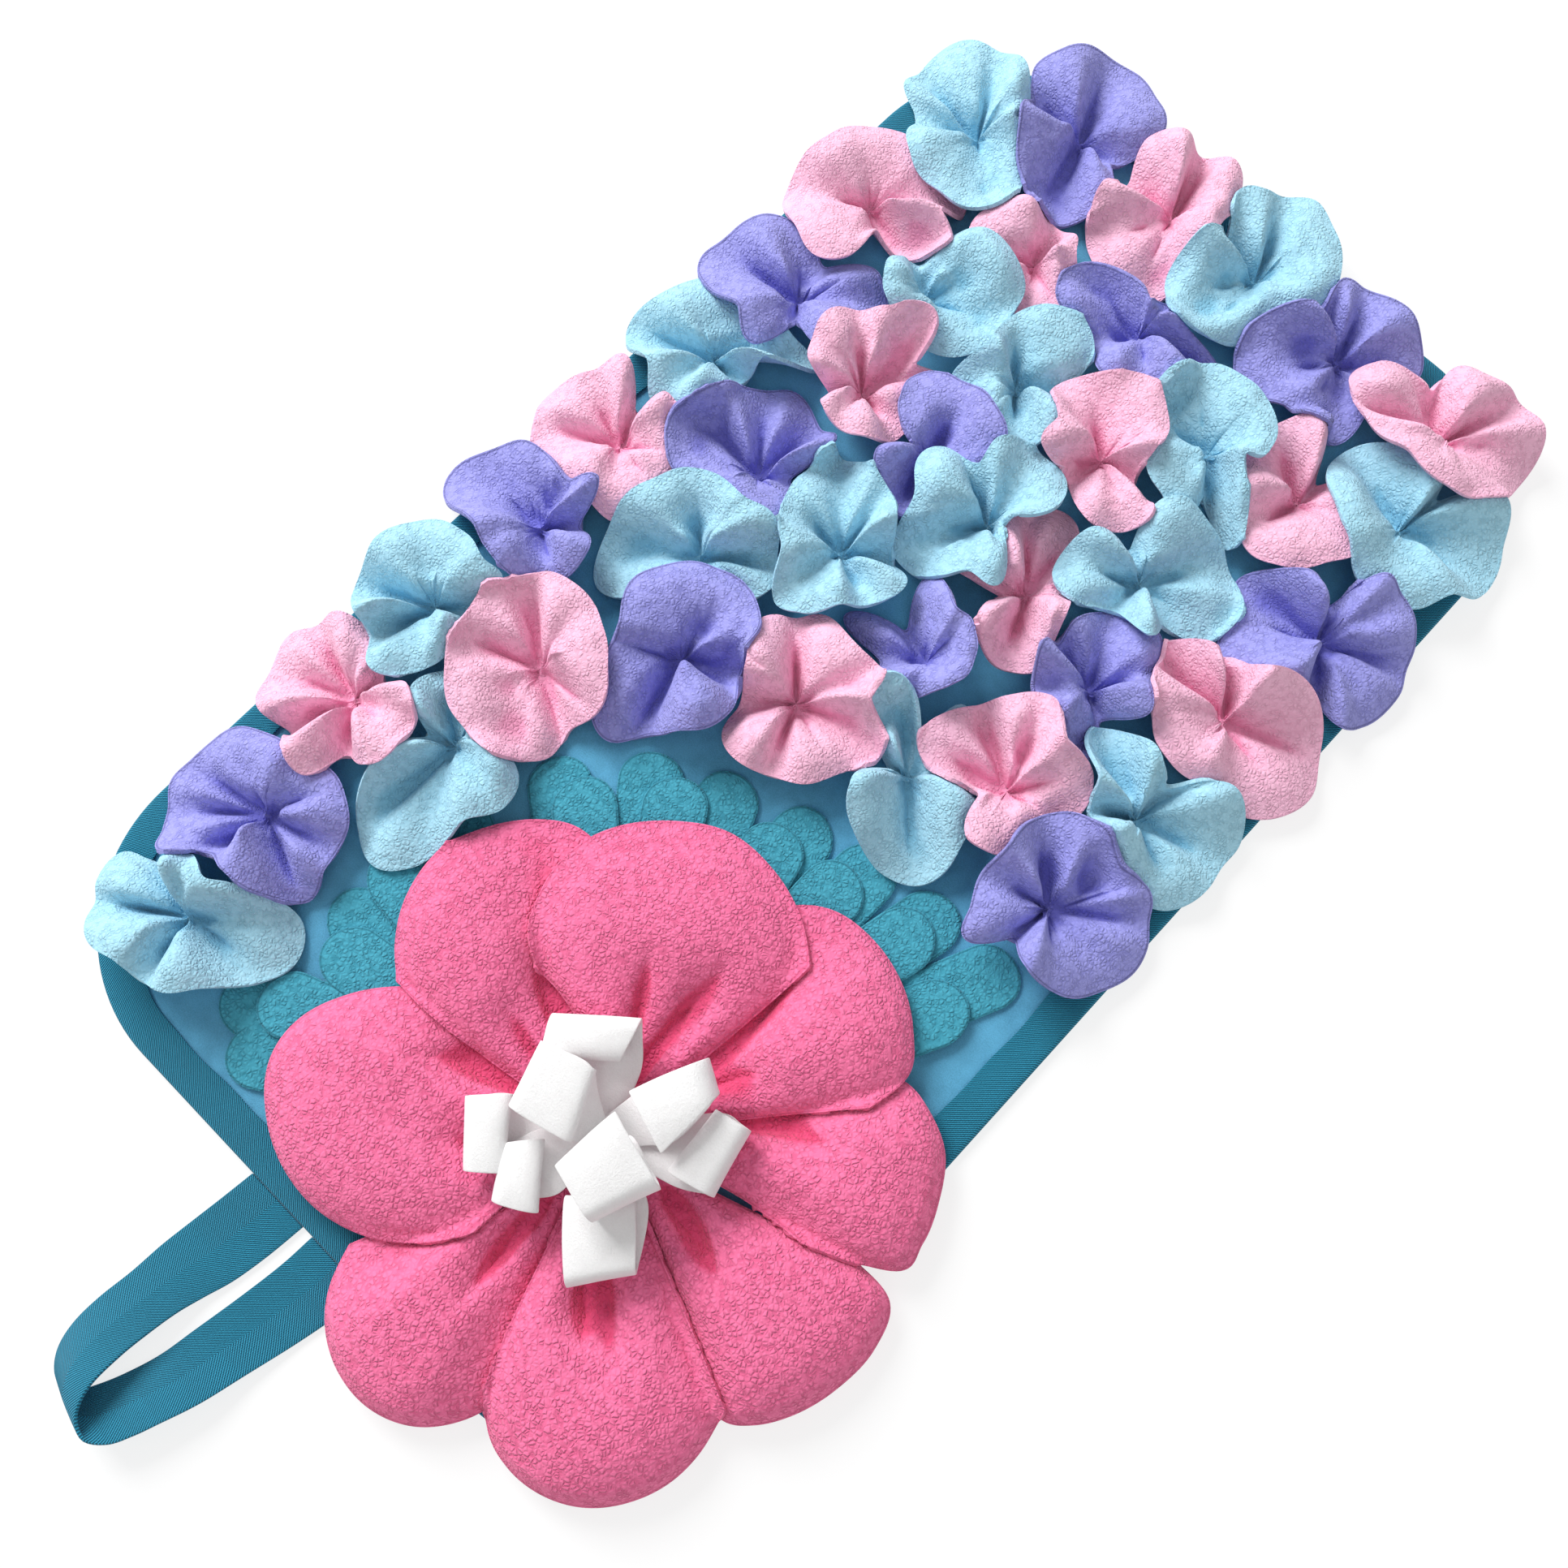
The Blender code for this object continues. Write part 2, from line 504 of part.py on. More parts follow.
def keep_off_root(start, direction, reach, root):
    """The reach, shortened where it would pass over the place where a flower on top is sewn down."""
    away = np.array(root) - start
    along = away @ direction
    off = abs(away[0] * direction[1] - away[1] * direction[0])
    if along <= 0 or off >= ROOT_CLEAR:
        return reach
    return min(reach, along - math.sqrt(ROOT_CLEAR**2 - off**2))


def flower_sheet(flower, on_top):
    """A flower before it meets its neighbours."""
    folds = flower_folds(flower)
    bm, places = disc_mesh(len(folds), len(FLOWER_RINGS) - 1)
    start = np.array(flower.gather, float)
    plan, heights = [], []
    for ray, ring in places:
        angle, reach, height, dome = folds[ray]
        direction = heading(angle)
        for other in on_top:
            reach = keep_off_root(start, direction, reach, other.gather)
        share = FLOWER_RINGS[ring]
        plan.append(start + direction * reach * share)
        heights.append(FLOWER_ROOT + (height - FLOWER_ROOT) * share**0.9 + dome * 4 * share * (1 - share))
    give = np.array([0.0 if ring == 0 else 1.0 for ray, ring in places])
    name = f"flower_{flower.number:02d}"
    return Sheet(name, np.array(plan), np.array(heights), mesh_triangles(bm), give, FLEECE_CLEAR, bm,
                 flower.colour)


def petal_sheet(petal):
    """A petal of the large flower before it meets its neighbours."""
    rays, stations = len(petal.rim), len(PETAL_STATIONS)
    bm = bmesh.new()
    bmesh.ops.create_grid(bm, x_segments=rays - 1, y_segments=stations - 1, size=0.5)
    bmesh.ops.triangulate(bm, faces=bm.faces)
    root_span = (petal.root[1] - petal.root[0]) % 360
    plan, heights, give = [], [], []
    for vert in bm.verts:
        ray = round((vert.co.x + 0.5) * (rays - 1))
        station = round((vert.co.y + 0.5) * (stations - 1))
        share = PETAL_STATIONS[station]
        angle, reach = petal.rim[ray]
        root_angle = petal.root[0] + root_span * ray / (rays - 1)
        spread = (angle - root_angle + 180) % 360 - 180
        away = PETAL_ROOT_RADIUS + (reach - PETAL_ROOT_RADIUS) * share
        plan.append(np.array(HEART) + away * heading(root_angle + spread * share**2))
        across = 2 * ray / (rays - 1) - 1
        swell = dict(PETAL_SHAPE)[share]
        floor = PETAL_ROOT + (petal.rim_height - PETAL_ROOT) * share
        height = floor + (PETAL_CREST - floor) * swell * (1 - 0.3 * across**2)
        for crease, depth in petal.creases:
            near = abs((angle - crease + 180) % 360 - 180)
            height -= depth * max(0.0, 1 - near / 12) * math.sin(math.pi * min(1.0, share * 1.2))
        heights.append(max(PETAL_ROOT, height))
        give.append(0.0 if station == 0 else 1.0)
    return Sheet(f"petal_{petal.number}", np.array(plan), np.array(heights), mesh_triangles(bm),
                 np.array(give), FLEECE_CLEAR, bm, HOT_PINK)


def points_within(points, sheet):
    """Rows of (point, three corners, three weights) for points that lie over the sheet in plan."""
    a, b, c = (sheet.plan[sheet.triangles[:, k]] for k in range(3))
    ab, ac = b - a, c - a
    area = ab[:, 0] * ac[:, 1] - ab[:, 1] * ac[:, 0]
    ap = points[:, None, :] - a[None]
    v = (ap[..., 0] * ac[:, 1] - ap[..., 1] * ac[:, 0]) / area
    w = (ab[:, 0] * ap[..., 1] - ab[:, 1] * ap[..., 0]) / area
    weights = np.stack([1 - v - w, v, w], axis=-1)
    point, triangle = np.nonzero(weights.min(axis=-1) >= -1e-9)
    return point, sheet.triangles[triangle], weights[point, triangle]


def crossings(first, second):
    """Where the edges of two sheets cross in plan, as (edge ends, shares) of each."""
    e1, e2 = first.edges(), second.edges()
    p, r = first.plan[e1[:, 0]][:, None], (first.plan[e1[:, 1]] - first.plan[e1[:, 0]])[:, None]
    q, s = second.plan[e2[:, 0]][None], (second.plan[e2[:, 1]] - second.plan[e2[:, 0]])[None]
    cross = r[..., 0] * s[..., 1] - r[..., 1] * s[..., 0]
    cross = np.where(np.abs(cross) < 1e-9, np.inf, cross)
    d = q - p
    t = (d[..., 0] * s[..., 1] - d[..., 1] * s[..., 0]) / cross
    u = (d[..., 0] * r[..., 1] - d[..., 1] * r[..., 0]) / cross
    i, j = np.nonzero((t > 0) & (t < 1) & (u > 0) & (u < 1) & np.isfinite(cross))
    return e1[i], t[i, j], e2[j], u[i, j]


def contact_rows(over, under, over_start, under_start):
    """Each place where one sheet passes over another, as six points with weights and the clearance wanted."""
    corners, weights = [], []
    point, triangle, share = points_within(over.plan, under)
    unused = np.zeros((len(point), 2), int)
    corners.append(np.column_stack([point + over_start, unused, triangle + under_start]))
    weights.append(np.column_stack([np.ones(len(point)), np.zeros((len(point), 2)), -share]))
    point, triangle, share = points_within(under.plan, over)
    unused = np.zeros((len(point), 2), int)
    corners.append(np.column_stack([triangle + over_start, point + under_start, unused]))
    weights.append(np.column_stack([share, -np.ones(len(point)), np.zeros((len(point), 2))]))
    e1, t, e2, u = crossings(over, under)
    nothing = np.zeros((len(t), 1), int)
    corners.append(np.column_stack([e1 + over_start, nothing, e2 + under_start, nothing]))
    weights.append(np.column_stack([1 - t, t, nothing, u - 1, -u, nothing]))
    corners = np.concatenate(corners).astype(int)
    return corners, np.concatenate(weights), np.full(len(corners), FLEECE + under.clear)


def lay_down(sheets, sweeps=600):
    """Presses the sheets apart, each above the ones before it, until none meets another."""
    starts = np.cumsum([0] + [len(sheet.plan) for sheet in sheets])
    heights = np.concatenate([sheet.heights for sheet in sheets])
    give = np.concatenate([sheet.give for sheet in sheets])
    found = []
    for top, over in enumerate(sheets):
        for bottom, under in enumerate(sheets[:top]):
            apart = (over.plan.min(axis=0) > under.plan.max(axis=0)) | (
                over.plan.max(axis=0) < under.plan.min(axis=0)
            )
            if over.give.any() and not apart.any():
                found.append(contact_rows(over, under, starts[top], starts[bottom]))
    corners, weights, wanted = (np.concatenate(part) for part in zip(*found))
    strength = np.maximum((weights**2 * give[corners]).sum(axis=1), 1e-6)
    lowest = np.where(give > 0, FLEECE + EDGE_CLEAR, heights)
    for _ in range(sweeps):
        short = wanted - (weights * heights[corners]).sum(axis=1)
        active = short > 0
        push = (short / strength)[active, None] * weights[active] * give[corners[active]]
        total, count = np.zeros_like(heights), np.zeros_like(heights)
        np.add.at(total, corners[active], push)
        np.add.at(count, corners[active], (push != 0).astype(float))
        heights = np.maximum(heights + 1.3 * total / np.maximum(count, 1), lowest)
    for sheet, start in zip(sheets, starts):
        sheet.heights = heights[start : start + len(sheet.plan)]


def thicken_sheet(sheet, into):
    """Makes a laid sheet an object, FLEECE thick."""
    bm = sheet.mesh
    for vert, (x, y), height in zip(bm.verts, sheet.plan, sheet.heights):
        vert.co = (x, y, height)
    grown = bmesh.ops.extrude_face_region(bm, geom=bm.faces[:], use_keep_orig=True)
    lowered = [part for part in grown["geom"] if isinstance(part, bmesh.types.BMVert)]
    bmesh.ops.translate(bm, vec=(0, 0, -FLEECE), verts=lowered)
    bmesh.ops.recalc_face_normals(bm, faces=bm.faces)
    add_object(sheet.name, bm, sheet.colour, into)


def curl_profile(curl, tail):
    """The strip's side view from its tail round its loop, as (distance from the heart, height, spread)."""
    round_end = (curl.high - curl.low) / 2
    turn = min(round_end, STRIP_TURN)
    middle = (curl.outer - round_end, curl.low + round_end)
    neck = 3.0 if curl.inner < STRIP_TAIL else STRIP_NECK
    risen = max(curl.inner + STRIP_TURN, neck + STRIP_TAIL)
    points = [(-STRIP_TAIL, tail, 0.0), (neck, tail, 0.0), (risen, curl.low, 0.3)]
    points.append((risen + STRIP_FAN, curl.low, 1.0))
    for step in range(7):
        out, up = heading(-90 + 30 * step)
        points.append((middle[0] + round_end * out, middle[1] + round_end * up, 1.0))
    if curl.turned_in:
        for step in range(3):
            out, up = heading(90 + 45 * step)
            points.append((curl.inner + turn + turn * out, curl.high - turn + turn * up, 1.0))
        points.append((curl.inner + 0.5, curl.low + 4.0, 1.0))
    else:
        points.append((curl.inner, curl.high - 1.0, 1.0))
    return points


def curl_object(name, curl, tail, into):
    """One curled end of a strip: the two edges of its side view bridged, then thickened."""
    bm = bmesh.new()
    out = heading(curl.heading)
    side = heading(curl.heading + 90)
    lines = []
    for edge in (-0.5, 0.5):
        line = []
        for distance, height, spread in curl_profile(curl, tail):
            width = STRIP_PINCH + (curl.width - STRIP_PINCH) * spread
            x, y = np.array(HEART) + out * distance + side * (curl.shift * spread + width * edge)
            line.append(bm.verts.new((x, y, height)))
        lines += [bm.edges.new(pair) for pair in zip(line, line[1:])]
    bmesh.ops.bridge_loops(bm, edges=lines)
    bmesh.ops.recalc_face_normals(bm, faces=bm.faces)
    obj = add_object(name, bm, WHITE, into)
    wall = obj.modifiers.new("Thickness", "SOLIDIFY")
    wall.thickness = STRIP_THICKNESS * MM
    wall.offset = 0.0
    return obj


def build_strips(into, helpers):
    """The curled white strips, crossed over one another and sewn down at the heart."""
    for number, (first, second) in enumerate(STRIPS):
        tail = STRIP_BASE + STRIP_PITCH * number
        strip = curl_object(f"curl_strip_{number + 1}", first, tail, into)
        other = curl_object(f"curl_end_{number + 1}", second, tail + 0.15, helpers)
        other.hide_render = True
        other.display_type = "WIRE"
        joined = strip.modifiers.new("Other end", "BOOLEAN")
        joined.operation = "UNION"
        joined.object = other


def build_strap(into):
    """The carrying strap, a loop of tape that lies on the floor and leans where it turns."""
    bm = bmesh.new()
    floor_line = [bm.verts.new(station.floor_edge) for station in STRAP]
    free_line = [bm.verts.new(station.free_edge) for station in STRAP]
    edges = [bm.edges.new(pair) for line in (floor_line, free_line) for pair in zip(line, line[1:])]
    bmesh.ops.bridge_loops(bm, edges=edges)
    bmesh.ops.recalc_face_normals(bm, faces=bm.faces)
    obj = add_object("strap", bm, TAPE_BLUE, into)
    wall = obj.modifiers.new("Thickness", "SOLIDIFY")
    wall.thickness = STRAP_THICKNESS * MM
    wall.offset = 0.0


def main():
    """Builds the mat from the floor up."""
    clear_scene()
    pieces = collection("snuffle_mat")
    helpers = collection("cutters", hidden=True)
    build_base(pieces)
    build_binding(pieces)
    long_tongues = build_tongues("tongues_long", TONGUES_LONG, TONGUE_LEVELS[0], pieces)
    short_tongues = build_tongues("tongues_short", TONGUES_SHORT, TONGUE_LEVELS[1], pieces)
    flowers = [flower_sheet(flower, FLOWERS[place + 1 :]) for place, flower in enumerate(FLOWERS)]
    petals = [petal_sheet(petal) for petal in PETALS]
    felt = fixed_sheet("felt", mat_outline(0.0), [(0, i, i + 1) for i in range(1, 4 * CORNER_STEPS + 3)],
                       FELT_TOP, GAP)
    lay_down([felt, binding_sheet(), long_tongues, short_tongues, *flowers, *petals])
    for sheet in (*flowers, *petals):
        thicken_sheet(sheet, pieces)
    build_strips(pieces, helpers)
    build_strap(pieces)


main()
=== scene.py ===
"""Snuffle mat, dressed: fleece flowers, a large petalled flower, tape binding and a tape strap.

Sizes are in millimetres until a mesh is finished, and directions in degrees from +X
towards +Y. Heights of the cloth start from the frame's solids and get finer folds here.
"""

import json
import logging
import math
from dataclasses import dataclass, field
from enum import Enum

import bmesh
import bpy
import numpy as np
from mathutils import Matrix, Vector

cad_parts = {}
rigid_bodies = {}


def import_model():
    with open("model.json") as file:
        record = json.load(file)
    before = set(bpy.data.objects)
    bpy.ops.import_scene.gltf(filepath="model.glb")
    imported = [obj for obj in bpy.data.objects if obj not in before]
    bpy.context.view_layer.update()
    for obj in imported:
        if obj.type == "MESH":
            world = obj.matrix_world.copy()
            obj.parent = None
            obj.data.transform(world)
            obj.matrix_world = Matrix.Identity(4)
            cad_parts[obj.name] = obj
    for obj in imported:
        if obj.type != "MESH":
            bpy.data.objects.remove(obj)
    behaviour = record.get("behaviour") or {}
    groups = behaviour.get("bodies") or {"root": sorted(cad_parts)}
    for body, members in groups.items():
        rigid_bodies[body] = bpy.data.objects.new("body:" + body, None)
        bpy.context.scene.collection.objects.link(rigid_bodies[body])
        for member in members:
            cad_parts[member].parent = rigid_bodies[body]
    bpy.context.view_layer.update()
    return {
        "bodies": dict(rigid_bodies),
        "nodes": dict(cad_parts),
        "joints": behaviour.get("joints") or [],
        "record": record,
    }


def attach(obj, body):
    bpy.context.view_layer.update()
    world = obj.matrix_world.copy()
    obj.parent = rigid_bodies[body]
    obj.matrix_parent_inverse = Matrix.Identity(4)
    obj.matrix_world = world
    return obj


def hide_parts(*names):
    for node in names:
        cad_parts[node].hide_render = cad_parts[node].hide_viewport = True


MM = 0.001
# The fleece's thickness, and how far apart two cloths stay where one lies on the other.
FLEECE = 2.0
CLEARANCE = 0.35
FELT_TOP = 3.0
# An inset past which no finish shows a cut edge.
FAR_INSIDE = 30.0
# A little less than a quarter turn, in radians.
HALF_PLANE = 1.5
LOG = logging.getLogger("snuffle_mat")


class Cloth(Enum):
    """The cloths, each as its linear colour."""

    LIGHT_PINK = (0.93, 0.52, 0.69)
    LIGHT_BLUE = (0.40, 0.69, 0.83)
    VIOLET = (0.33, 0.33, 0.74)
    HOT_PINK = (0.93, 0.19, 0.38)
    TEAL = (0.065, 0.36, 0.48)
    FELT = (0.11, 0.43, 0.67)
    TAPE = (0.024, 0.27, 0.42)
    WHITE = (0.95, 0.94, 0.94)


def heading(degrees: float | np.ndarray) -> np.ndarray:
    """Returns the unit direction in plan, or a row of it for each of several directions."""
    turn = np.radians(degrees)
    return np.stack([np.cos(turn), np.sin(turn)], axis=-1)


def turn_between(first: float | np.ndarray, second: float | np.ndarray) -> float | np.ndarray:
    """Returns the signed turn from the second direction to the first, in degrees."""
    return (first - second + 180.0) % 360.0 - 180.0


def beside(direction: np.ndarray, distance: np.ndarray, line: float | np.ndarray
           ) -> tuple[np.ndarray, np.ndarray]:
    """Measures how far places lie to the side of a line that runs out from the middle.

    Args:
        direction: The places' directions from the middle, in degrees.
        distance: Their distances from it.
        line: The line's direction, one for all or one for each place.

    Returns:
        The signed distances from the line, and whether each place lies on the line's own side of the middle.
    """
    off = np.radians(turn_between(direction, line))
    return distance * np.sin(np.clip(off, -HALF_PLANE, HALF_PLANE)), np.abs(off) < HALF_PLANE


def run_lengths(points: np.ndarray) -> np.ndarray:
    """Returns each point's distance from the first, along the line through all of them."""
    return np.concatenate([[0], np.cumsum(np.linalg.norm(np.diff(points, axis=0), axis=1))])


def smoothstep(low: float, high: float, value: np.ndarray) -> np.ndarray:
    """Returns 0 below low, 1 above high and a soft step between them."""
    share = np.clip((value - low) / (high - low), 0.0, 1.0)
    return share * share * (3.0 - 2.0 * share)


def hermite(share: np.ndarray, start: np.ndarray, end: np.ndarray, slope_in: np.ndarray,
            slope_out: np.ndarray) -> np.ndarray:
    """Mixes two values along a cubic.

    Args:
        share: Place between the two, 0 to 1.
        start: Value at 0.
        end: Value at 1.
        slope_in: Slope at 0, over the whole interval.
        slope_out: Slope at 1, over the whole interval.

    Returns:
        The values at share.
    """
    square, cube = share**2, share**3
    return ((2 * cube - 3 * square + 1) * start + (cube - 2 * square + share) * slope_in
            + (3 * square - 2 * cube) * end + (cube - square) * slope_out)


def round_curve(angles: np.ndarray, values: np.ndarray, at: np.ndarray) -> np.ndarray:
    """Draws a smooth closed curve through values at rising directions.

    Args:
        angles: Directions in degrees, rising, within one turn.
        values: The value at each direction.
        at: Directions to read, in degrees.

    Returns:
        The curve's values there.
    """
    knots = np.concatenate([angles[-1:] - 360, angles, angles[:2] + 360])
    level = np.concatenate([values[-1:], values, values[:2]])
    at = (at - angles[0]) % 360 + angles[0]
    place = np.clip(np.searchsorted(knots, at, side="right") - 1, 1, len(angles))
    gap = np.diff(knots)
    rise = np.diff(level) / gap
    slope = (rise[1:] * gap[:-1] + rise[:-1] * gap[1:]) / (gap[:-1] + gap[1:])
    width = gap[place]
    share = (at - knots[place]) / width
    return hermite(share, level[place], level[place + 1], slope[place - 1] * width, slope[place] * width)


def open_curve(values: np.ndarray, at: np.ndarray) -> np.ndarray:
    """Draws a smooth open curve through rows of values at 0, 1, 2 and so on.

    Args:
        values: One row for each knot.
        at: Places to read, from 0 to the last knot's number.

    Returns:
        The curve's rows there.
    """
    values = np.asarray(values, float)
    padded = np.vstack([2 * values[0] - values[1], values, 2 * values[-1] - values[-2]])
    slopes = (padded[2:] - padded[:-2]) / 2
    place = np.clip(at.astype(int), 0, len(values) - 2)
    share = (at - place)[:, None]
    return hermite(share, values[place], values[place + 1], slopes[place], slopes[place + 1])


# ---------------------------------------------------------------- materials


class NodeBook:
    """Adds shader nodes to a tree in few words."""

    def __init__(self, tree: bpy.types.NodeTree) -> None:
        """Keeps the tree that the nodes go into."""
        self.tree = tree

    def node(self, kind: str, settings: dict | None = None, **sockets: object) -> bpy.types.Node:
        """Adds a node.

        Args:
            kind: Its type's name after ShaderNode.
            settings: Its properties.
            **sockets: Values or sockets for its inputs, with _ for a space in the name.

        Returns:
            The node.
        """
        made = self.tree.nodes.new(f"ShaderNode{kind}")
        for name, value in (settings or {}).items():
            setattr(made, name, value)
        for name, value in sockets.items():
            self.feed(made.inputs[int(name[1:]) if name[1:].isdigit() else name.replace("_", " ")], value)
        return made

    def plain(self, kind: str) -> bpy.types.Node:
        """Returns a new node of that full type name."""
        return self.tree.nodes.new(kind)

    def feed(self, socket: bpy.types.NodeSocket, value: object) -> None:
        """Links a socket to the input, or sets it to a value.

        Args:
            socket: The input.
            value: The socket or value.
        """
        if isinstance(value, bpy.types.NodeSocket):
            self.tree.links.new(value, socket)
        else:
            socket.default_value = value

    def maths(self, operation: str, first: object, second: object = 0.0, third: object = 0.0
              ) -> bpy.types.NodeSocket:
        """Returns the result of a Math node."""
        return self.node("Math", {"operation": operation}, i0=first, i1=second, i2=third).outputs[0]

    def ramp(self, value: object, low: float, high: float, start: float = 0.0, end: float = 1.0
             ) -> bpy.types.NodeSocket:
        """Adds a soft step.

        Args:
            value: The socket that drives it.
            low: Where the step starts.
            high: Where it ends.
            start: The result below low.
            end: The result above high.

        Returns:
            The result's socket.
        """
        made = self.node("MapRange", {"interpolation_type": "SMOOTHSTEP"}, Value=value)
        for name, number in (("From Min", low), ("From Max", high), ("To Min", start), ("To Max", end)):
            made.inputs[name].default_value = number
        return made.outputs[0]

    def blend(self, share: object, first: object, second: object) -> bpy.types.NodeSocket:
        """Adds a mix of two colours.

        Args:
            share: How much of the second shows.
            first: The first colour.
            second: The second colour.

        Returns:
            The mixed colour's socket.
        """
        made = self.node("Mix", {"data_type": "RGBA"})
        self.feed(made.inputs["Factor"], share)
        self.feed(made.inputs[6], first)
        self.feed(made.inputs[7], second)
        return made.outputs[2]

    def noise(self, vector: object, scale: float, detail: float = 2.0, rough: float = 0.5) -> bpy.types.Node:
        """Adds a noise texture.

        Args:
            vector: The place's socket.
            scale: Its lumps to a metre.
            detail: How many finer layers it has.
            rough: How strong they are.

        Returns:
            The node.
        """
        made = self.node("TexNoise", None, Vector=vector)
        for name, number in (("Scale", scale), ("Detail", detail), ("Roughness", rough)):
            made.inputs[name].default_value = number
        return made


def new_group(name: str, inputs: tuple[tuple[str, float], ...], outputs: tuple[str, ...]
              ) -> tuple[bpy.types.NodeTree, NodeBook, bpy.types.Node, bpy.types.Node]:
    """Starts a shader node group of float sockets.

    Args:
        name: Its name.
        inputs: Each input's name and default.
        outputs: The outputs' names.

    Returns:
        The group, its node book, and its input and output nodes.
    """
    tree = bpy.data.node_groups.new(name, "ShaderNodeTree")
    for label, value in inputs:
        tree.interface.new_socket(label, in_out="INPUT", socket_type="NodeSocketFloat").default_value = value
    for label in outputs:
        tree.interface.new_socket(label, in_out="OUTPUT", socket_type="NodeSocketFloat")
    book = NodeBook(tree)
    return tree, book, book.plain("NodeGroupInput"), book.plain("NodeGroupOutput")


def pebble_group() -> bpy.types.NodeTree:
    """Makes the group for fleece that has balled up, with fuzz over pebbles that fine cracks part.

    Returns:
        The group, which gives a height and a shade.
    """
    wander_by, crack_width, least_open, fuzz_shade = 0.0008, 0.34, 0.4, 0.12
    tree, book, given, result = new_group("Fleece pebbles", (("Per metre", 500.0), ("Fuzz", 0.08)),
                                          ("Height", "Shade"))
    place = book.node("TexCoord").outputs["Object"]
    wander = book.noise(place, 330.0, 1.0)
    shifted = book.node("VectorMath", {"operation": "MULTIPLY_ADD"}, i0=wander.outputs["Color"],
                        i1=(wander_by, wander_by, wander_by), i2=place).outputs[0]
    cells = book.node("TexVoronoi", {"feature": "DISTANCE_TO_EDGE"}, Vector=shifted,
                      Scale=given.outputs["Per metre"])
    crack = book.ramp(cells.outputs["Distance"], 0.0, crack_width, 1.0, 0.0)
    patches = book.ramp(book.noise(place, 260.0, 1.0).outputs["Fac"], 0.35, 0.65)
    opened = book.maths("MULTIPLY_ADD", patches, 1.0 - least_open, least_open)
    lumps = book.maths("SUBTRACT", 1.0, book.maths("MULTIPLY", crack, opened))
    fuzz = book.noise(place, 2300.0, 3.0, 0.7).outputs["Fac"]
    # The shade paints shade into the cracks and highlight onto the pebbles' tops.
    shade = book.maths("MULTIPLY_ADD", fuzz, fuzz_shade, book.maths("MULTIPLY", lumps, 0.92))
    book.feed(result.inputs["Height"], book.maths("MULTIPLY_ADD", fuzz, given.outputs["Fuzz"], lumps))
    book.feed(result.inputs["Shade"], shade)
    return tree


def twill_group() -> bpy.types.NodeTree:
    """Makes the group for herringbone tape, whose slanted ridges meet at the tape's middle.

    Returns:
        The group, which gives a height and a shade.
    """
    weft_spacing = 0.0009
    tree, book, given, result = new_group("Herringbone tape", (("Ridge", 0.0012), ("Slope", 1.0)),
                                          ("Height", "Shade"))
    uv = book.node("SeparateXYZ", None, Vector=book.node("UVMap", {"uv_map": "tape"}).outputs[0])
    across = book.maths("ABSOLUTE", uv.outputs["X"])
    slant = book.maths("MULTIPLY_ADD", across, given.outputs["Slope"], uv.outputs["Y"])
    turns = book.maths("DIVIDE", slant, given.outputs["Ridge"])
    ridge = book.maths("SINE", book.maths("MULTIPLY", turns, math.tau))
    weft = book.maths("SINE", book.maths("MULTIPLY", uv.outputs["X"], math.tau / weft_spacing))
    grain = book.noise(book.node("TexCoord").outputs["Object"], 900.0, 2.0).outputs["Fac"]
    height = book.maths("MULTIPLY_ADD", weft, 0.25, ridge)
    book.feed(result.inputs["Height"], book.maths("MULTIPLY_ADD", grain, 0.5, height))
    # The shade paints highlight onto the slanted ridges and shade into the grooves between them.
    book.feed(result.inputs["Shade"], book.maths("MULTIPLY_ADD", ridge, 0.5, 0.5))
    return tree


def fibre_group() -> bpy.types.NodeTree:
    """Makes the group for brushed cloth, with short fibres over broad unevenness.

    Returns:
        The group, which gives a height and a shade.
    """
    tree, book, given, result = new_group("Brushed fibres", (("Per metre", 1500.0),), ("Height", "Shade"))
    place = book.node("TexCoord").outputs["Object"]
    fine = book.noise(place, 1800.0, 4.0, 0.75)
    book.feed(fine.inputs["Scale"], given.outputs["Per metre"])
    broad = book.noise(place, 120.0, 3.0)
    mixed = book.maths("MULTIPLY_ADD", broad.outputs["Fac"], 0.5, fine.outputs["Fac"])
    book.feed(result.inputs["Height"], mixed)
    book.feed(result.inputs["Shade"], mixed)
    return tree


class Texture(Enum):
    """The cloth textures that several finishes share, each by its group's name."""

    PEBBLES = "Fleece pebbles"
    TWILL = "Herringbone tape"
    FIBRES = "Brushed fibres"


# Powers above 1 make a cloth's colour stronger: in the painted shade of its cracks, along its cut edge, and
# in the painted shade down in its folds.
CRACK_SHADE_POWER = 1.12
EDGE_POWER = 1.15
FOLD_SHADE_POWER = 1.85
FOLD_SHADE_SHARE = 0.72
CLOUD_SHARE = 0.15
# The inset at which the band of edge colour beside a cut edge starts, is full, begins to fade and ends.
EDGE_BAND_INSETS = (0.25, 0.7, 0.9, 1.6)


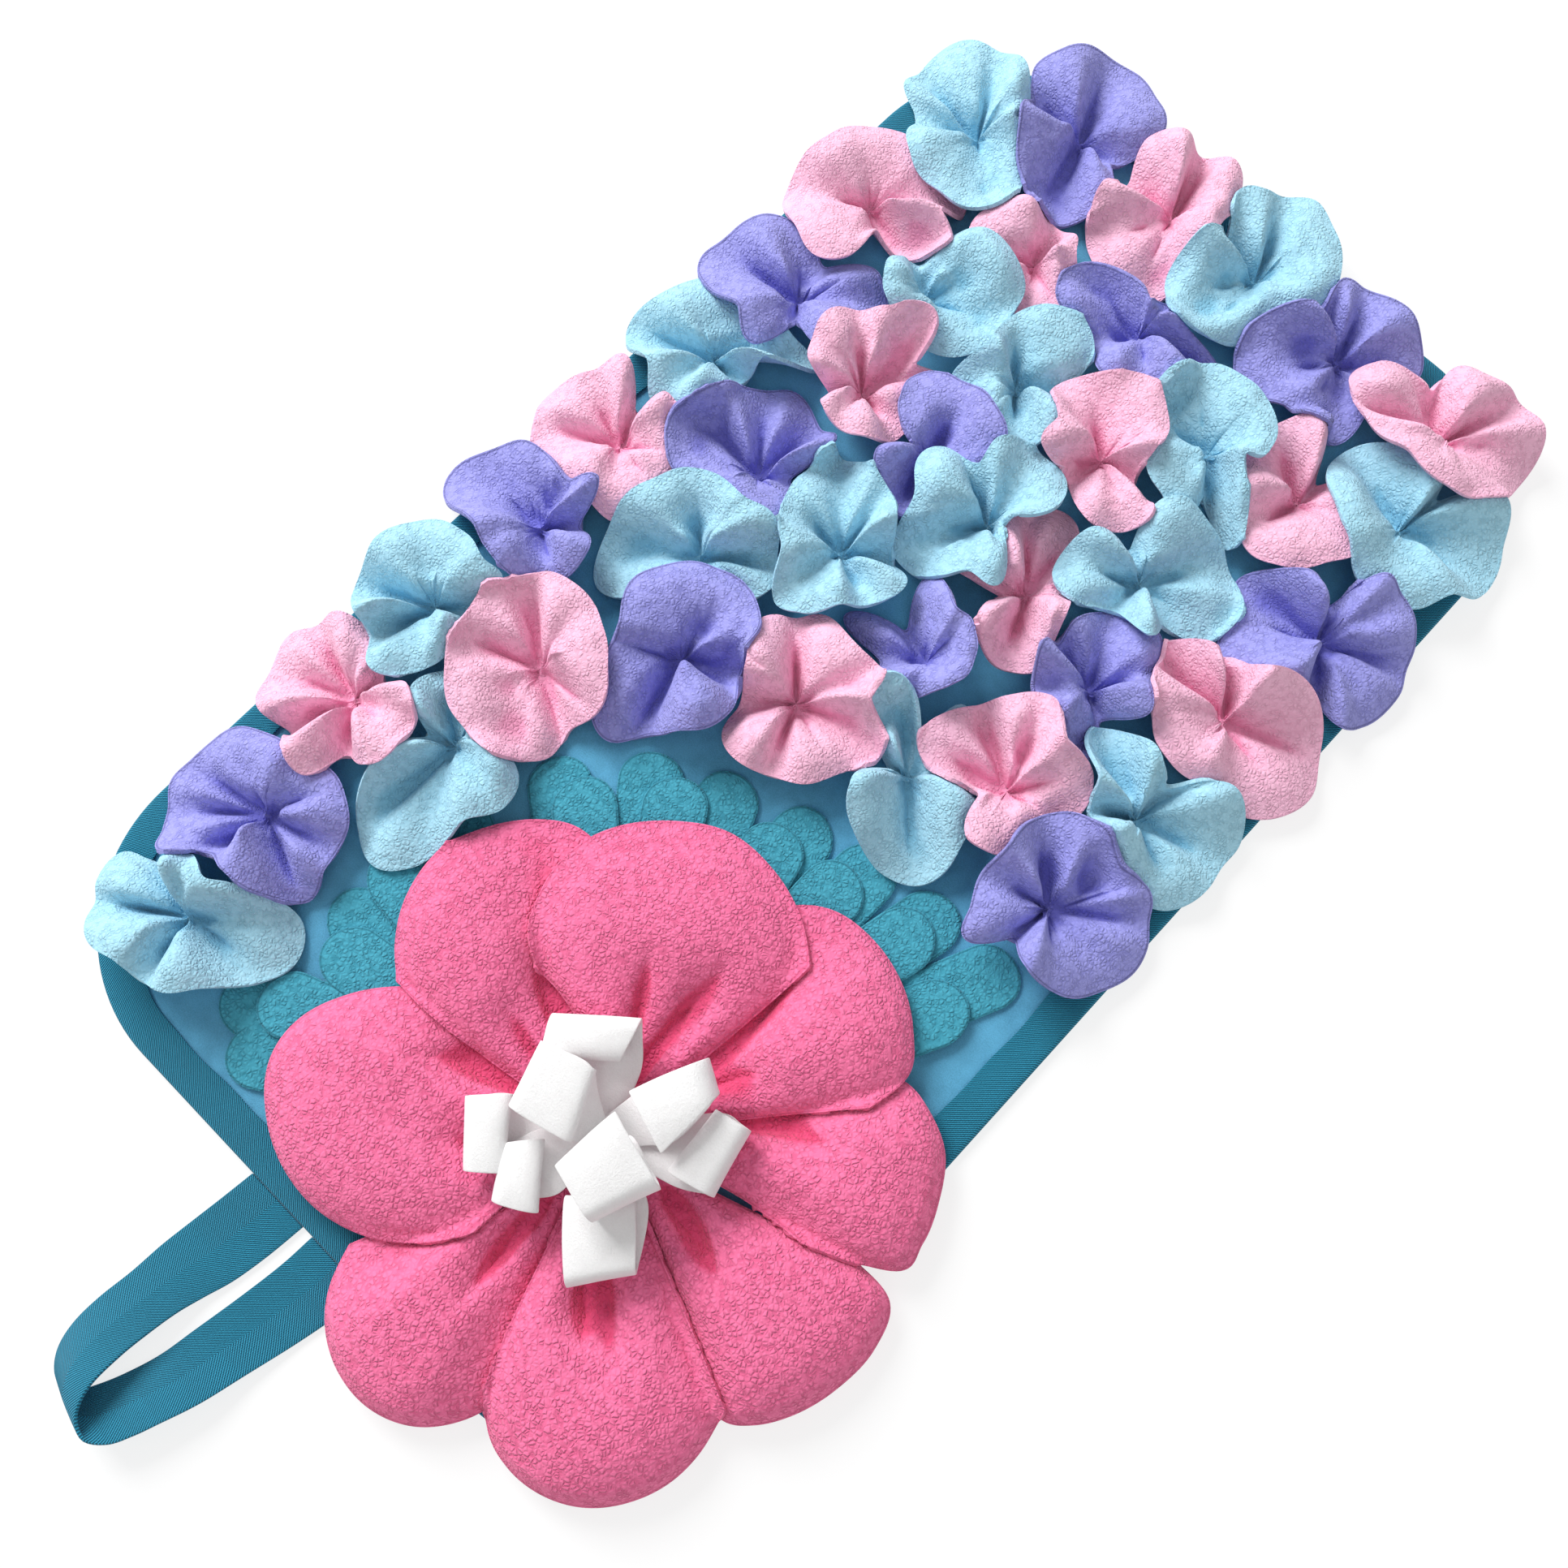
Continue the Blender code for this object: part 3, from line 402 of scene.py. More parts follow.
@dataclass(frozen=True)
class Finish:
    """A cloth's finish: its colours, its texture's relief, and how its cut edge looks.

    Deep and lift are the shares of the cloth's colour that show as painted shade in its texture's cracks and
    grooves and as painted highlight on its raised nap and ridges; edge is the share along its cut edge, and
    the last share is the painted shade down in its folds. The relief is in metres.
    """

    name: str
    cloth: Cloth
    slot: str
    deep: float
    lift: float
    edge: float
    relief: float = 0.00046
    texture: Texture = Texture.PEBBLES
    group_values: tuple[tuple[str, float], ...] = (("Per metre", 500.0), ("Fuzz", 0.08))
    sheen: float = 0.12
    shade_range: tuple[float, float] = (0.15, 0.95)
    painted_fold_shade: float = 0.92

    def tint(self, share: float, saturate: float = 1.0) -> tuple[float, float, float, float]:
        """Works out a shade of the cloth.

        Args:
            share: How much of its colour is left.
            saturate: The power that makes it stronger, 1 for none.

        Returns:
            The shade, with an alpha of 1.
        """
        colour = np.array(self.cloth.value) ** saturate * share
        return (*np.clip(colour, 0.0, 0.97), 1.0)

    def material(self) -> bpy.types.Material:
        """Makes the material, or returns the one made before.

        Returns:
            The material.
        """
        made = bpy.data.materials.get(self.name)
        if made:
            return made
        made = bpy.data.materials.new(self.name)
        made.use_nodes = True
        book = NodeBook(made.node_tree)
        shader = made.node_tree.nodes["Principled BSDF"]
        group = book.node("Group", {"node_tree": bpy.data.node_groups[self.texture.value]})
        for label, value in self.group_values:
            group.inputs[label].default_value = value
        # Painted shade in the texture's cracks and grooves, and painted highlight on its raised nap and
        # ridges.
        shade = book.ramp(group.outputs["Shade"], *self.shade_range)
        colour = book.blend(shade, self.tint(self.deep, CRACK_SHADE_POWER), self.tint(self.lift))
        cloudy = book.noise(book.node("TexCoord").outputs["Object"], 22.0, 2.0).outputs["Fac"]
        cloudy = book.ramp(cloudy, 0.3, 0.7, 0.0, CLOUD_SHARE)
        colour = book.blend(cloudy, colour, self.tint(self.lift * 1.05))
        inset = book.node("Attribute", {"attribute_name": "inset"}).outputs["Fac"]
        start, full, fade, end = EDGE_BAND_INSETS
        # A band of the edge colour just inside each cut edge, and a fainter one at the edge itself.
        line = book.maths("MULTIPLY", book.ramp(inset, start, full), book.ramp(inset, fade, end, 1.0, 0.0))
        edge_band = book.maths("MAXIMUM", line, book.ramp(inset, 0.0, 0.3, 0.35, 0.0))
        colour = book.blend(edge_band, colour, self.tint(self.edge, EDGE_POWER))
        # Painted shade: darker, stronger colour down in folds and towards the middle, where shade falls.
        painted_fold_shade = book.node("Attribute", {"attribute_name": "painted_fold_shade"}).outputs["Fac"]
        sunk = book.ramp(painted_fold_shade, 0.0, 1.0, 0.0, FOLD_SHADE_SHARE)
        colour = book.blend(sunk, colour, self.tint(self.painted_fold_shade, FOLD_SHADE_POWER))
        book.feed(shader.inputs["Base Color"], colour)
        bump = book.node("Bump", None, Height=group.outputs["Height"])
        bump.inputs["Strength"].default_value = 1.0
        bump.inputs["Distance"].default_value = self.relief
        book.feed(shader.inputs["Normal"], bump.outputs[0])
        shader.inputs["Roughness"].default_value = 0.92
        shader.inputs["Specular IOR Level"].default_value = 0.15
        shader.inputs["Sheen Weight"].default_value = self.sheen
        shader.inputs["Sheen Roughness"].default_value = 0.6
        return made


FLOWER_FLEECE = {
    Cloth.LIGHT_PINK: Finish("Light pink fleece", Cloth.LIGHT_PINK, "fleece_light_pink",
                             deep=0.95, lift=1.04, edge=1.05),
    Cloth.LIGHT_BLUE: Finish("Light blue fleece", Cloth.LIGHT_BLUE, "fleece_light_blue",
                             deep=0.94, lift=1.05, edge=1.05),
    Cloth.VIOLET: Finish("Violet fleece", Cloth.VIOLET, "fleece_violet", deep=0.93, lift=1.07, edge=0.62),
}
PETAL_FLEECE = Finish("Hot pink fleece", Cloth.HOT_PINK, "fleece_hot_pink", deep=0.86, lift=1.05, edge=0.80,
                      relief=0.00060, group_values=(("Per metre", 460.0), ("Fuzz", 0.08)), painted_fold_shade=0.78)
TONGUE_FLEECE = Finish("Teal fleece", Cloth.TEAL, "fleece_teal", deep=0.88, lift=1.08, edge=0.66)
STRIP_CLOTH = Finish("White brushed cloth", Cloth.WHITE, "fleece_white", deep=0.97, lift=1.03, edge=0.97,
                     relief=0.00045, texture=Texture.FIBRES, group_values=(("Per metre", 1100.0),),
                     sheen=0.1, shade_range=(0.5, 1.0), painted_fold_shade=0.95)
FELT_CLOTH = Finish("Blue felt", Cloth.FELT, "felt_blue", deep=0.76, lift=1.10, edge=0.80, relief=0.00035,
                    texture=Texture.FIBRES, group_values=(("Per metre", 1500.0),), sheen=0.4,
                    shade_range=(0.45, 1.05))
TAPE_CLOTH = Finish("Teal herringbone tape", Cloth.TAPE, "tape_teal", deep=0.50, lift=1.30, edge=0.80,
                    relief=0.00025, texture=Texture.TWILL, group_values=(), sheen=0.1,
                    shade_range=(0.1, 0.9))


# ---------------------------------------------------------------- cloth helpers


class Ground:
    """A map of the highest cloth laid so far, one cell for each millimetre in plan."""

    def __init__(self, low: tuple[float, float] = (-240.0, -480.0), size: tuple[int, int] = (480, 860)
                 ) -> None:
        """Starts with the flat felt.

        Args:
            low: The map's lowest corner.
            size: Its cells along X and Y.
        """
        self.low = np.array(low)
        self.top = np.full(size, FELT_TOP)

    def cells(self, plan: np.ndarray) -> tuple[np.ndarray, np.ndarray]:
        """Finds the map's cells.

        Args:
            plan: Points in plan, one row each.

        Returns:
            The column and the row of each point's cell.
        """
        index = np.round(plan - self.low).astype(int)
        limit = np.array(self.top.shape) - 1
        index = np.clip(index, 0, limit)
        return index[:, 0], index[:, 1]

    def lay(self, bm: bmesh.types.BMesh) -> None:
        """Adds a cloth to the map, by points spread over each of its faces.

        Args:
            bm: The cloth's upper face.
        """
        grid = (0.0, 0.25, 0.5, 0.75, 1.0)
        shares = np.array([(u, v) for u in grid for v in grid if u + v <= 1.0])
        corners = np.array([[vert.co[:] for vert in face.verts[:3]] for face in bm.faces])
        second = np.array([[face.verts[k].co[:] for k in (0, 2, -1)] for face in bm.faces])
        for part in (corners, second):
            base, one, two = part[:, None, 0], part[:, None, 1], part[:, None, 2]
            points = base + (one - base) * shares[None, :, :1] + (two - base) * shares[None, :, 1:]
            points = points.reshape(-1, 3)
            np.maximum.at(self.top, self.cells(points[:, :2]), points[:, 2])

    def under(self, plan: np.ndarray) -> np.ndarray:
        """Looks up what lies under some points.

        Args:
            plan: Points in plan, one row each.

        Returns:
            The height of the highest cloth within a millimetre of each.
        """
        columns, rows = self.cells(plan)
        found = np.zeros(len(plan))
        for step_x in (-1, 0, 1):
            for step_y in (-1, 0, 1):
                near_x = np.clip(columns + step_x, 0, self.top.shape[0] - 1)
                near_y = np.clip(rows + step_y, 0, self.top.shape[1] - 1)
                found = np.maximum(found, self.top[near_x, near_y])
        return found


def neighbours(bm: bmesh.types.BMesh) -> tuple[np.ndarray, np.ndarray, np.ndarray]:
    """Lists a mesh's edges for smoothing.

    Args:
        bm: The mesh.

    Returns:
        Every edge's start and end, each way round, and how many edges each vertex has.
    """
    bm.verts.index_update()
    ends = np.array([[edge.verts[0].index, edge.verts[1].index] for edge in bm.edges])
    both = np.concatenate([ends, ends[:, ::-1]])
    count = np.bincount(both[:, 0], minlength=len(bm.verts)).astype(float)
    return both[:, 0], both[:, 1], count


def spread(bm: bmesh.types.BMesh, values: np.ndarray, rounds: int, keep_high: bool) -> np.ndarray:
    """Smooths a value over a mesh.

    Args:
        bm: The mesh.
        values: One value for each vertex.
        rounds: How many times each vertex takes its neighbours' mean.
        keep_high: Whether no vertex may end lower than it began.

    Returns:
        The smoothed values.
    """
    start, end, count = neighbours(bm)
    out = values.copy()
    for _ in range(rounds):
        mean = np.bincount(start, weights=out[end], minlength=len(out)) / count
        out = 0.5 * out + 0.5 * mean
        if keep_high:
            out = np.maximum(out, values)
    return out


def settle(bm: bmesh.types.BMesh, points: np.ndarray, ground: Ground, rounds: tuple[int, int] = (6, 2)
           ) -> np.ndarray:
    """Raises a cloth wherever it would pass into what it lies on, with soft shoulders.

    Args:
        bm: The cloth's upper face, for its edges.
        points: Its points, one row a vertex.
        ground: What lies below.
        rounds: How widely each of the two lifts is eased out, in steps of the mesh.

    Returns:
        The points, raised.
    """
    points = points.copy()
    for steps in rounds:
        short = np.maximum(ground.under(points[:, :2]) + FLEECE + CLEARANCE - points[:, 2], 0.0)
        points[:, 2] += spread(bm, short, steps, keep_high=True)
    return points


def store(bm: bmesh.types.BMesh, name: str, values: float | np.ndarray) -> None:
    """Stores a value for each vertex, where the finishes read it.

    Args:
        bm: The mesh.
        name: "inset", the distance from the cut edge in millimetres, or the name of the fold's painted shade,
            how much of it a vertex gets.
        values: One value for all, or one for each vertex.
    """
    layer = bm.verts.layers.float.new(name)
    for vert, value in zip(bm.verts, np.broadcast_to(values, len(bm.verts))):
        vert[layer] = float(value)


def unit_grid(columns: int, rows: int) -> tuple[bmesh.types.BMesh, np.ndarray]:
    """Starts a sheet as a square grid.

    Args:
        columns: Its steps along.
        rows: Its steps across.

    Returns:
        The mesh, and each vertex's place along and across it, 0 to 1.
    """
    bm = bmesh.new()
    bmesh.ops.create_grid(bm, x_segments=columns, y_segments=rows, size=0.5)
    return bm, np.array([vert.co.xy[:] for vert in bm.verts]) + 0.5


def place_points(bm: bmesh.types.BMesh, points: np.ndarray) -> None:
    """Moves a mesh's vertices to the rows of points."""
    for vert, point in zip(bm.verts, points):
        vert.co = point


def set_painted_fold_shade(bm: bmesh.types.BMesh, heights: np.ndarray, insets: np.ndarray, deep: float, rounds: int,
               middle: tuple[float, float]) -> None:
    """Stores painted shade: how far each vertex lies in a fold, where less light gets in, and how near the
    cloth's middle.

    Args:
        bm: The cloth's upper face.
        heights: Its heights.
        insets: Its distances from the cut edge, where nothing counts as a fold.
        deep: The depth below its surroundings that counts as 1.
        rounds: How far round about the surroundings reach, in steps of the mesh.
        middle: The painted shade added at the cloth's middle, and the inset from which it is all added.
    """
    clear_of_rim = smoothstep(2.0, 20.0, insets)
    added, inside = middle
    depth = (spread(bm, heights, rounds, keep_high=False) - heights) / deep
    share = np.clip(depth, 0.0, 1.0) * clear_of_rim + added * smoothstep(0.15 * inside, inside, insets)
    store(bm, "painted_fold_shade", np.clip(share, 0.0, 1.0))


def finish_cloth(name: str, bm: bmesh.types.BMesh, finish: Finish, node: str, thickness: float,
                 offset: float = -1.0, round_edge: float = 0.5) -> bpy.types.Object:
    """Makes a cloth of its upper face, gives it its thickness and puts it on the frame.

    Args:
        name: The piece's name.
        bm: Its upper face, in millimetres; it is freed.
        finish: Its finish.
        node: The frame's node that it stands for.
        thickness: Its thickness.
        offset: Where the face lies in the thickness: -1 is its upper side, 0 its middle.
        round_edge: How much its cut edge is rounded, or 0.

    Returns:
        The piece.
    """
    bmesh.ops.recalc_face_normals(bm, faces=bm.faces)
    if sum(face.normal.z * face.calc_area() for face in bm.faces) < 0:
        bmesh.ops.reverse_faces(bm, faces=bm.faces)
    bmesh.ops.scale(bm, vec=(MM, MM, MM), verts=bm.verts)
    mesh = bpy.data.meshes.new(name)
    bm.to_mesh(mesh)
    bm.free()
    mesh.shade_smooth()
    mesh.materials.append(finish.material())
    piece = bpy.data.objects.new(name, mesh)
    bpy.context.scene.collection.objects.link(piece)
    wall = piece.modifiers.new("Thickness", "SOLIDIFY")
    wall.thickness = thickness * MM
    wall.offset = offset
    wall.use_even_offset = False
    if round_edge:
        bevel = piece.modifiers.new("Soft cut edge", "BEVEL")
        bevel.width = round_edge * MM
        bevel.segments = 2
        bevel.limit_method = "ANGLE"
        bevel.angle_limit = math.radians(55)
    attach(piece, "root")
    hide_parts(node)
    return piece


def flat_area(bm: bmesh.types.BMesh) -> float:
    """Returns the area of a mesh in square millimetres."""
    return sum(face.calc_area() for face in bm.faces)


# ---------------------------------------------------------------- small flowers


class Fold(Enum):
    """Kinds of fold at a flower's middle, each as (depth, half width, start, end past its place)."""

    DEEP = (8.5, 4.0, 2.0, 14.0)
    BROAD = (5.0, 4.5, 2.0, 14.0)
    LONG = (5.0, 3.0, 2.0, 30.0)
    SHORT = (4.0, 2.6, 12.0, 10.0)


@dataclass
class Roll:
    """A stretch of a flower's rim that turns up and back, as in a ruffle."""

    direction: float
    spread: float
    height: float
    back: float


@dataclass
class Flower:
    """A flower's row: number, cloth, folds as (kind, direction, reach), and turned stretches of rim."""

    number: int
    cloth: Cloth
    folds: tuple[tuple[Fold, float, float], ...] = ()
    rolls: tuple[Roll, ...] = ()


PINK, BLUE, VIOLET = Cloth.LIGHT_PINK, Cloth.LIGHT_BLUE, Cloth.VIOLET
DEEP, BROAD, LONG, SHORT = Fold.DEEP, Fold.BROAD, Fold.LONG, Fold.SHORT

# In laying order: each flower lies on those above it in this table.
FLOWERS = (
    Flower(6, PINK, ((DEEP, 90, 15), (BROAD, 210, 20), (LONG, 330, 22))),
    Flower(9, VIOLET, ((SHORT, 312, 23), (LONG, 16, 33), (BROAD, 170, 22))),
    Flower(11, BLUE, ((LONG, 197, 26), (BROAD, 66, 20)), (Roll(15, 28, 0, -6),)),
    Flower(20, PINK, ((BROAD, 149, 30), (DEEP, 92, 12), (BROAD, 255, 22))),
    Flower(30, VIOLET, ((DEEP, 164, 22),)),
    Flower(37, BLUE, ((LONG, 270, 36), (BROAD, 144, 19), (DEEP, 189, 16))),
    Flower(43, BLUE, ((BROAD, 214, 31), (BROAD, 298, 25), (BROAD, 10, 26), (SHORT, 37, 16))),
    Flower(7, VIOLET, ((DEEP, 183, 27), (BROAD, 129, 16), (LONG, 63, 15)), (Roll(169, 32, 0, -8),)),
    Flower(8, BLUE, ((SHORT, 57, 12), (BROAD, 15, 22), (BROAD, 160, 20))),
    Flower(14, BLUE, ((BROAD, 183, 21), (SHORT, 144, 24), (DEEP, 310, 35))),
    Flower(18, PINK, ((BROAD, 161, 20), (LONG, 205, 24), (DEEP, 113, 11), (BROAD, 22, 23), (SHORT, 348, 25))),
    Flower(19, VIOLET, ((BROAD, 173, 23), (BROAD, 126, 19), (DEEP, 80, 35)), (Roll(128, 36, 0, -5),)),
    Flower(21, BLUE, ((BROAD, 154, 23), (BROAD, 22, 16), (BROAD, 1, 27)), (Roll(29, 34, 0, -7),)),
    Flower(26, PINK, ((BROAD, 134, 23), (BROAD, 98, 28), (DEEP, 240, 22), (BROAD, 291, 25))),
    Flower(28, VIOLET, ((DEEP, 176, 32), (BROAD, 105, 23), (DEEP, 204, 23), (DEEP, 23, 12), (DEEP, 301, 30))),
    Flower(39, BLUE, ((DEEP, 137, 26), (LONG, 314, 25), (BROAD, 344, 16))),
    Flower(41, VIOLET, ((BROAD, 190, 25), (BROAD, 221, 26), (BROAD, 264, 21), (DEEP, 340, 36),
                        (BROAD, 15, 22), (BROAD, 59, 30))),
    Flower(3, PINK, ((SHORT, 213, 17), (SHORT, 44, 16), (LONG, 347, 23)), (Roll(312, 20, 9, 5),)),
    Flower(12, PINK, ((BROAD, 138, 15), (DEEP, 84, 23), (BROAD, 339, 16), (SHORT, 291, 17))),
    Flower(13, BLUE, ((BROAD, 137, 24), (DEEP, 38, 19), (BROAD, 307, 18), (SHORT, 273, 16))),
    Flower(25, BLUE, ((LONG, 135, 12), (DEEP, 221, 12), (DEEP, 40, 12))),
    Flower(33, VIOLET, ((BROAD, 152, 24), (BROAD, 116, 15), (BROAD, 54, 18), (DEEP, 341, 13))),
    Flower(34, PINK, ((BROAD, 165, 26), (BROAD, 203, 26), (BROAD, 241, 30), (DEEP, 317, 29), (BROAD, 3, 22))),
    Flower(35, PINK, ((BROAD, 134, 23), (BROAD, 292, 20), (BROAD, 337, 22), (BROAD, 21, 32),
                      (SHORT, 189, 29))),
    Flower(1, BLUE, ((DEEP, 173, 18), (BROAD, 120, 11), (SHORT, 315, 44)), (Roll(138, 40, 0, -11),)),
    Flower(17, VIOLET, ((BROAD, 105, 22), (DEEP, 279, 21))),
    Flower(27, BLUE, ((DEEP, 217, 19), (BROAD, 57, 21), (BROAD, 6, 14))),
    Flower(29, BLUE, ((DEEP, 203, 25), (DEEP, 253, 28), (BROAD, 47, 17))),
    Flower(31, VIOLET, ((DEEP, 282, 41), (BROAD, 216, 34), (DEEP, 13, 30))),
    Flower(36, PINK, ((DEEP, 181, 21), (BROAD, 120, 25), (LONG, 21, 35), (BROAD, 342, 24))),
    Flower(38, PINK, ((LONG, 149, 19), (BROAD, 193, 31), (BROAD, 49, 19), (BROAD, 3, 16))),
    Flower(2, VIOLET, ((BROAD, 115, 35), (DEEP, 283, 33)), (Roll(122, 42, 0, -10), Roll(352, 16, 7, 2))),
    Flower(22, BLUE, ((LONG, 158, 23), (BROAD, 231, 18), (DEEP, 322, 15))),
    Flower(23, BLUE, ((BROAD, 176, 17), (BROAD, 92, 16), (DEEP, 32, 25), (BROAD, 331, 20))),
    Flower(24, VIOLET, ((DEEP, 178, 19), (BROAD, 153, 13), (BROAD, 333, 22), (BROAD, 19, 19)),
           (Roll(179, 28, 0, -8),)),
    Flower(32, PINK, ((BROAD, 204, 37), (BROAD, 138, 27), (DEEP, 331, 36), (BROAD, 2, 35))),
    Flower(40, BLUE, ((DEEP, 215, 14), (BROAD, 15, 27), (BROAD, 332, 26))),
    Flower(4, PINK, ((SHORT, 246, 26), (SHORT, 287, 28), (DEEP, 113, 17))),
    Flower(15, PINK, ((BROAD, 144, 18), (DEEP, 235, 18))),
    Flower(42, VIOLET, ((DEEP, 142, 26), (BROAD, 196, 16), (LONG, 58, 35), (BROAD, 35, 27),
                        (BROAD, 308, 17))),
    Flower(5, BLUE, ((DEEP, 168, 23), (BROAD, 117, 27), (SHORT, 238, 25), (SHORT, 271, 33)),
           (Roll(104, 26, 0, -8),)),
    Flower(10, VIOLET, ((DEEP, 160, 26), (BROAD, 113, 25), (SHORT, 233, 22), (SHORT, 278, 26))),
    Flower(16, PINK, ((DEEP, 130, 27), (BROAD, 71, 14), (SHORT, 36, 27), (DEEP, 200, 44), (DEEP, 205, 28)),
           (Roll(52, 26, 0, -9), Roll(104, 18, 0, 5))),
)


@dataclass
class FlowerRays:
    """A flower as its solid has it: its middle, and each ray's direction, reach and three ring heights."""

    middle: np.ndarray
    directions: np.ndarray
    reach: np.ndarray
    heights: np.ndarray

    @classmethod
    def of_node(cls, node: bpy.types.Object) -> "FlowerRays":
        """Reads the rays from a flower's solid, whose points stand in pairs, the cloth's thickness apart.

        Args:
            node: The frame's object.

        Returns:
            The flower's rays, in rising order of direction.
        """
        points = np.array([vert.co[:] for vert in node.data.vertices]) / MM
        pillars: dict[tuple[float, float], float] = {}
        for x, y, z in points:
            key = (round(x * 20) / 20, round(y * 20) / 20)
            pillars[key] = max(z, pillars.get(key, z))
        tops = np.array([(*key, z) for key, z in pillars.items()])
        for candidate in tops[np.argsort(tops[:, 2])]:
            away = np.delete(tops, np.where((tops == candidate).all(axis=1))[0], axis=0) - candidate
            reach = np.hypot(away[:, 0], away[:, 1])
            angle = np.degrees(np.arctan2(away[:, 1], away[:, 0])) % 360
            order = np.argsort(angle)
            turned = np.roll(order, -int(np.argmax(np.diff(angle[order], append=angle[order][0] + 360))) - 1)
            if len(turned) % 3:
                continue
            rays = turned.reshape(-1, 3)
            spreads = [max(abs(turn_between(angle[a], angle[b])) for a in ray for b in ray) for ray in rays]
            if max(spreads) < 2.0:
                return cls.sorted_rays(candidate, rays, angle, reach, away[:, 2] + candidate[2])
        raise ValueError(f"{node.name} has no middle")

    @classmethod
    def sorted_rays(cls, middle: np.ndarray, rays: np.ndarray, angle: np.ndarray, reach: np.ndarray,
                    height: np.ndarray) -> "FlowerRays":
        """Puts each ray's three points in order outwards, and the rays in order of direction.

        Args:
            middle: The flower's middle point.
            rays: The numbers of the three points on each ray.
            angle: Every point's direction from the middle.
            reach: Every point's distance from it.
            height: Every point's height.

        Returns:
            The flower's rays.
        """
        rows = []
        for ray in rays:
            ray = ray[np.argsort(reach[ray])]
            rows.append((angle[ray[-1]], reach[ray[-1]], *height[ray]))
        table = np.array(sorted(rows))
        return cls(middle[:2], table[:, 0], table[:, 1], table[:, 2:])


@dataclass
class SmallFlower:
    """One small flower, gathered at its middle, its folds softer and finer than its solid's."""

    row: Flower
    rays: int = 148
    rings: tuple[float, ...] = (0.05, 0.1, 0.16, 0.23, 0.3, 0.37, 0.45, 0.53, 0.61, 0.69, 0.77, 0.84, 0.9,
                                0.945, 0.975, 1.0)
    middle_height: float = 7.5
    disc: float = 44.0
    # A flower whose cloth covers less than this share of the disc would be cut from a smaller one, this much
    # smaller; nothing in the script acts on either.
    covered: float = 0.8
    smaller: float = 0.88
    # How far to each side of a fold the rim's height is read, in degrees.
    fold_sides: float = 18.0
    cloth: FlowerRays = field(init=False)

    def upper_face(self, ground: Ground) -> bmesh.types.BMesh:
        """Makes the flower's upper face on what is laid so far.

        Args:
            ground: What lies below.

        Returns:
            The face, in millimetres.
        """
        bm = bmesh.new()
        spoke = [bm.verts.new((ring, 0, 0)) for ring in (0.0, *self.rings)]
        lines = [bm.edges.new(pair) for pair in zip(spoke, spoke[1:])]
        bmesh.ops.spin(bm, geom=spoke + lines, axis=(0, 0, 1), cent=(0, 0, 0), steps=self.rays,
                       angle=math.tau, use_merge=True)
        bmesh.ops.remove_doubles(bm, verts=bm.verts, dist=1e-4)
        disc = np.array([vert.co.xy[:] for vert in bm.verts])
        share = np.hypot(disc[:, 0], disc[:, 1])
        angle = np.degrees(np.arctan2(disc[:, 1], disc[:, 0])) % 360
        points = settle(bm, self.folded(angle, share), ground)
        place_points(bm, points)
        insets = (1.0 - share) * self.reach(angle)
        # Painted shade in the folds, stronger towards the flower's middle.
        set_painted_fold_shade(bm, points[:, 2], insets, deep=1.7, rounds=30, middle=(0.38, 40.0))
        store(bm, "inset", insets)
        return bm

    def reach(self, angle: np.ndarray) -> np.ndarray:
        """Returns how far the rim lies from the middle in each direction."""
        return round_curve(self.cloth.directions, self.cloth.reach, angle)

    def folded(self, angle: np.ndarray, share: np.ndarray) -> np.ndarray:
        """Works out the gathered cloth's points.

        Args:
            angle: Each point's direction.
            share: Its share of the way to the rim.

        Returns:
            The points, one row each.
        """
        rng = np.random.default_rng(self.row.number)
        reach = self.reach(angle)
        inner, middle, outer = (round_curve(self.cloth.directions, self.cloth.heights[:, ring], angle)
                                for ring in range(3))
        height = self.radial(share, inner, middle, outer)
        radius = reach * share
        height += self.creases(angle, radius)
        height += self.puckers(rng, angle, radius)
        wave = rng.uniform(0, math.tau, 3)
        ruffle = sum(np.sin(np.radians(angle) * count + phase) for count, phase in zip((5, 7, 11), wave))
        height += 0.4 * ruffle * share**3
        reach = reach * (1 + 0.012 * np.sin(np.radians(angle) * 9 + wave[1]) * share)
        for roll in self.row.rolls:
            off = turn_between(angle, roll.direction)
            near = np.exp(-((off / roll.spread) ** 2)) * smoothstep(0.45, 1.0, share)
            height += roll.height * near
            reach = reach - roll.back * near
        return np.column_stack([self.cloth.middle + (reach * share)[:, None] * heading(angle), height])

    def radial(self, share: np.ndarray, inner: np.ndarray, middle: np.ndarray, outer: np.ndarray
               ) -> np.ndarray:
        """Draws each ray from the gathered middle through the solid's three rings.

        Args:
            share: Each point's share of the way to the rim.
            inner: Its ray's height at the inner ring.
            middle: Its height at the middle ring.
            outer: Its height at the rim.

        Returns:
            The points' heights.
        """
        first, second = 0.36, 0.72
        slope_in = (middle - inner) / (second - first)
        slope_out = (outer - middle) / (1 - second)
        slope_middle = 0.5 * (slope_in + slope_out)
        slope_first = 0.6 * slope_in + 0.4 * (inner - self.middle_height) / first
        near = hermite(share / first, np.full_like(share, self.middle_height), inner,
                       2.3 * (inner - self.middle_height), slope_first * first)
        half = hermite((share - first) / (second - first), inner, middle, slope_first * (second - first),
                       slope_middle * (second - first))
        far = hermite((share - second) / (1 - second), middle, outer, slope_middle * (1 - second),
                      slope_out * (1 - second))
        return np.where(share < first, near, np.where(share < second, half, far))

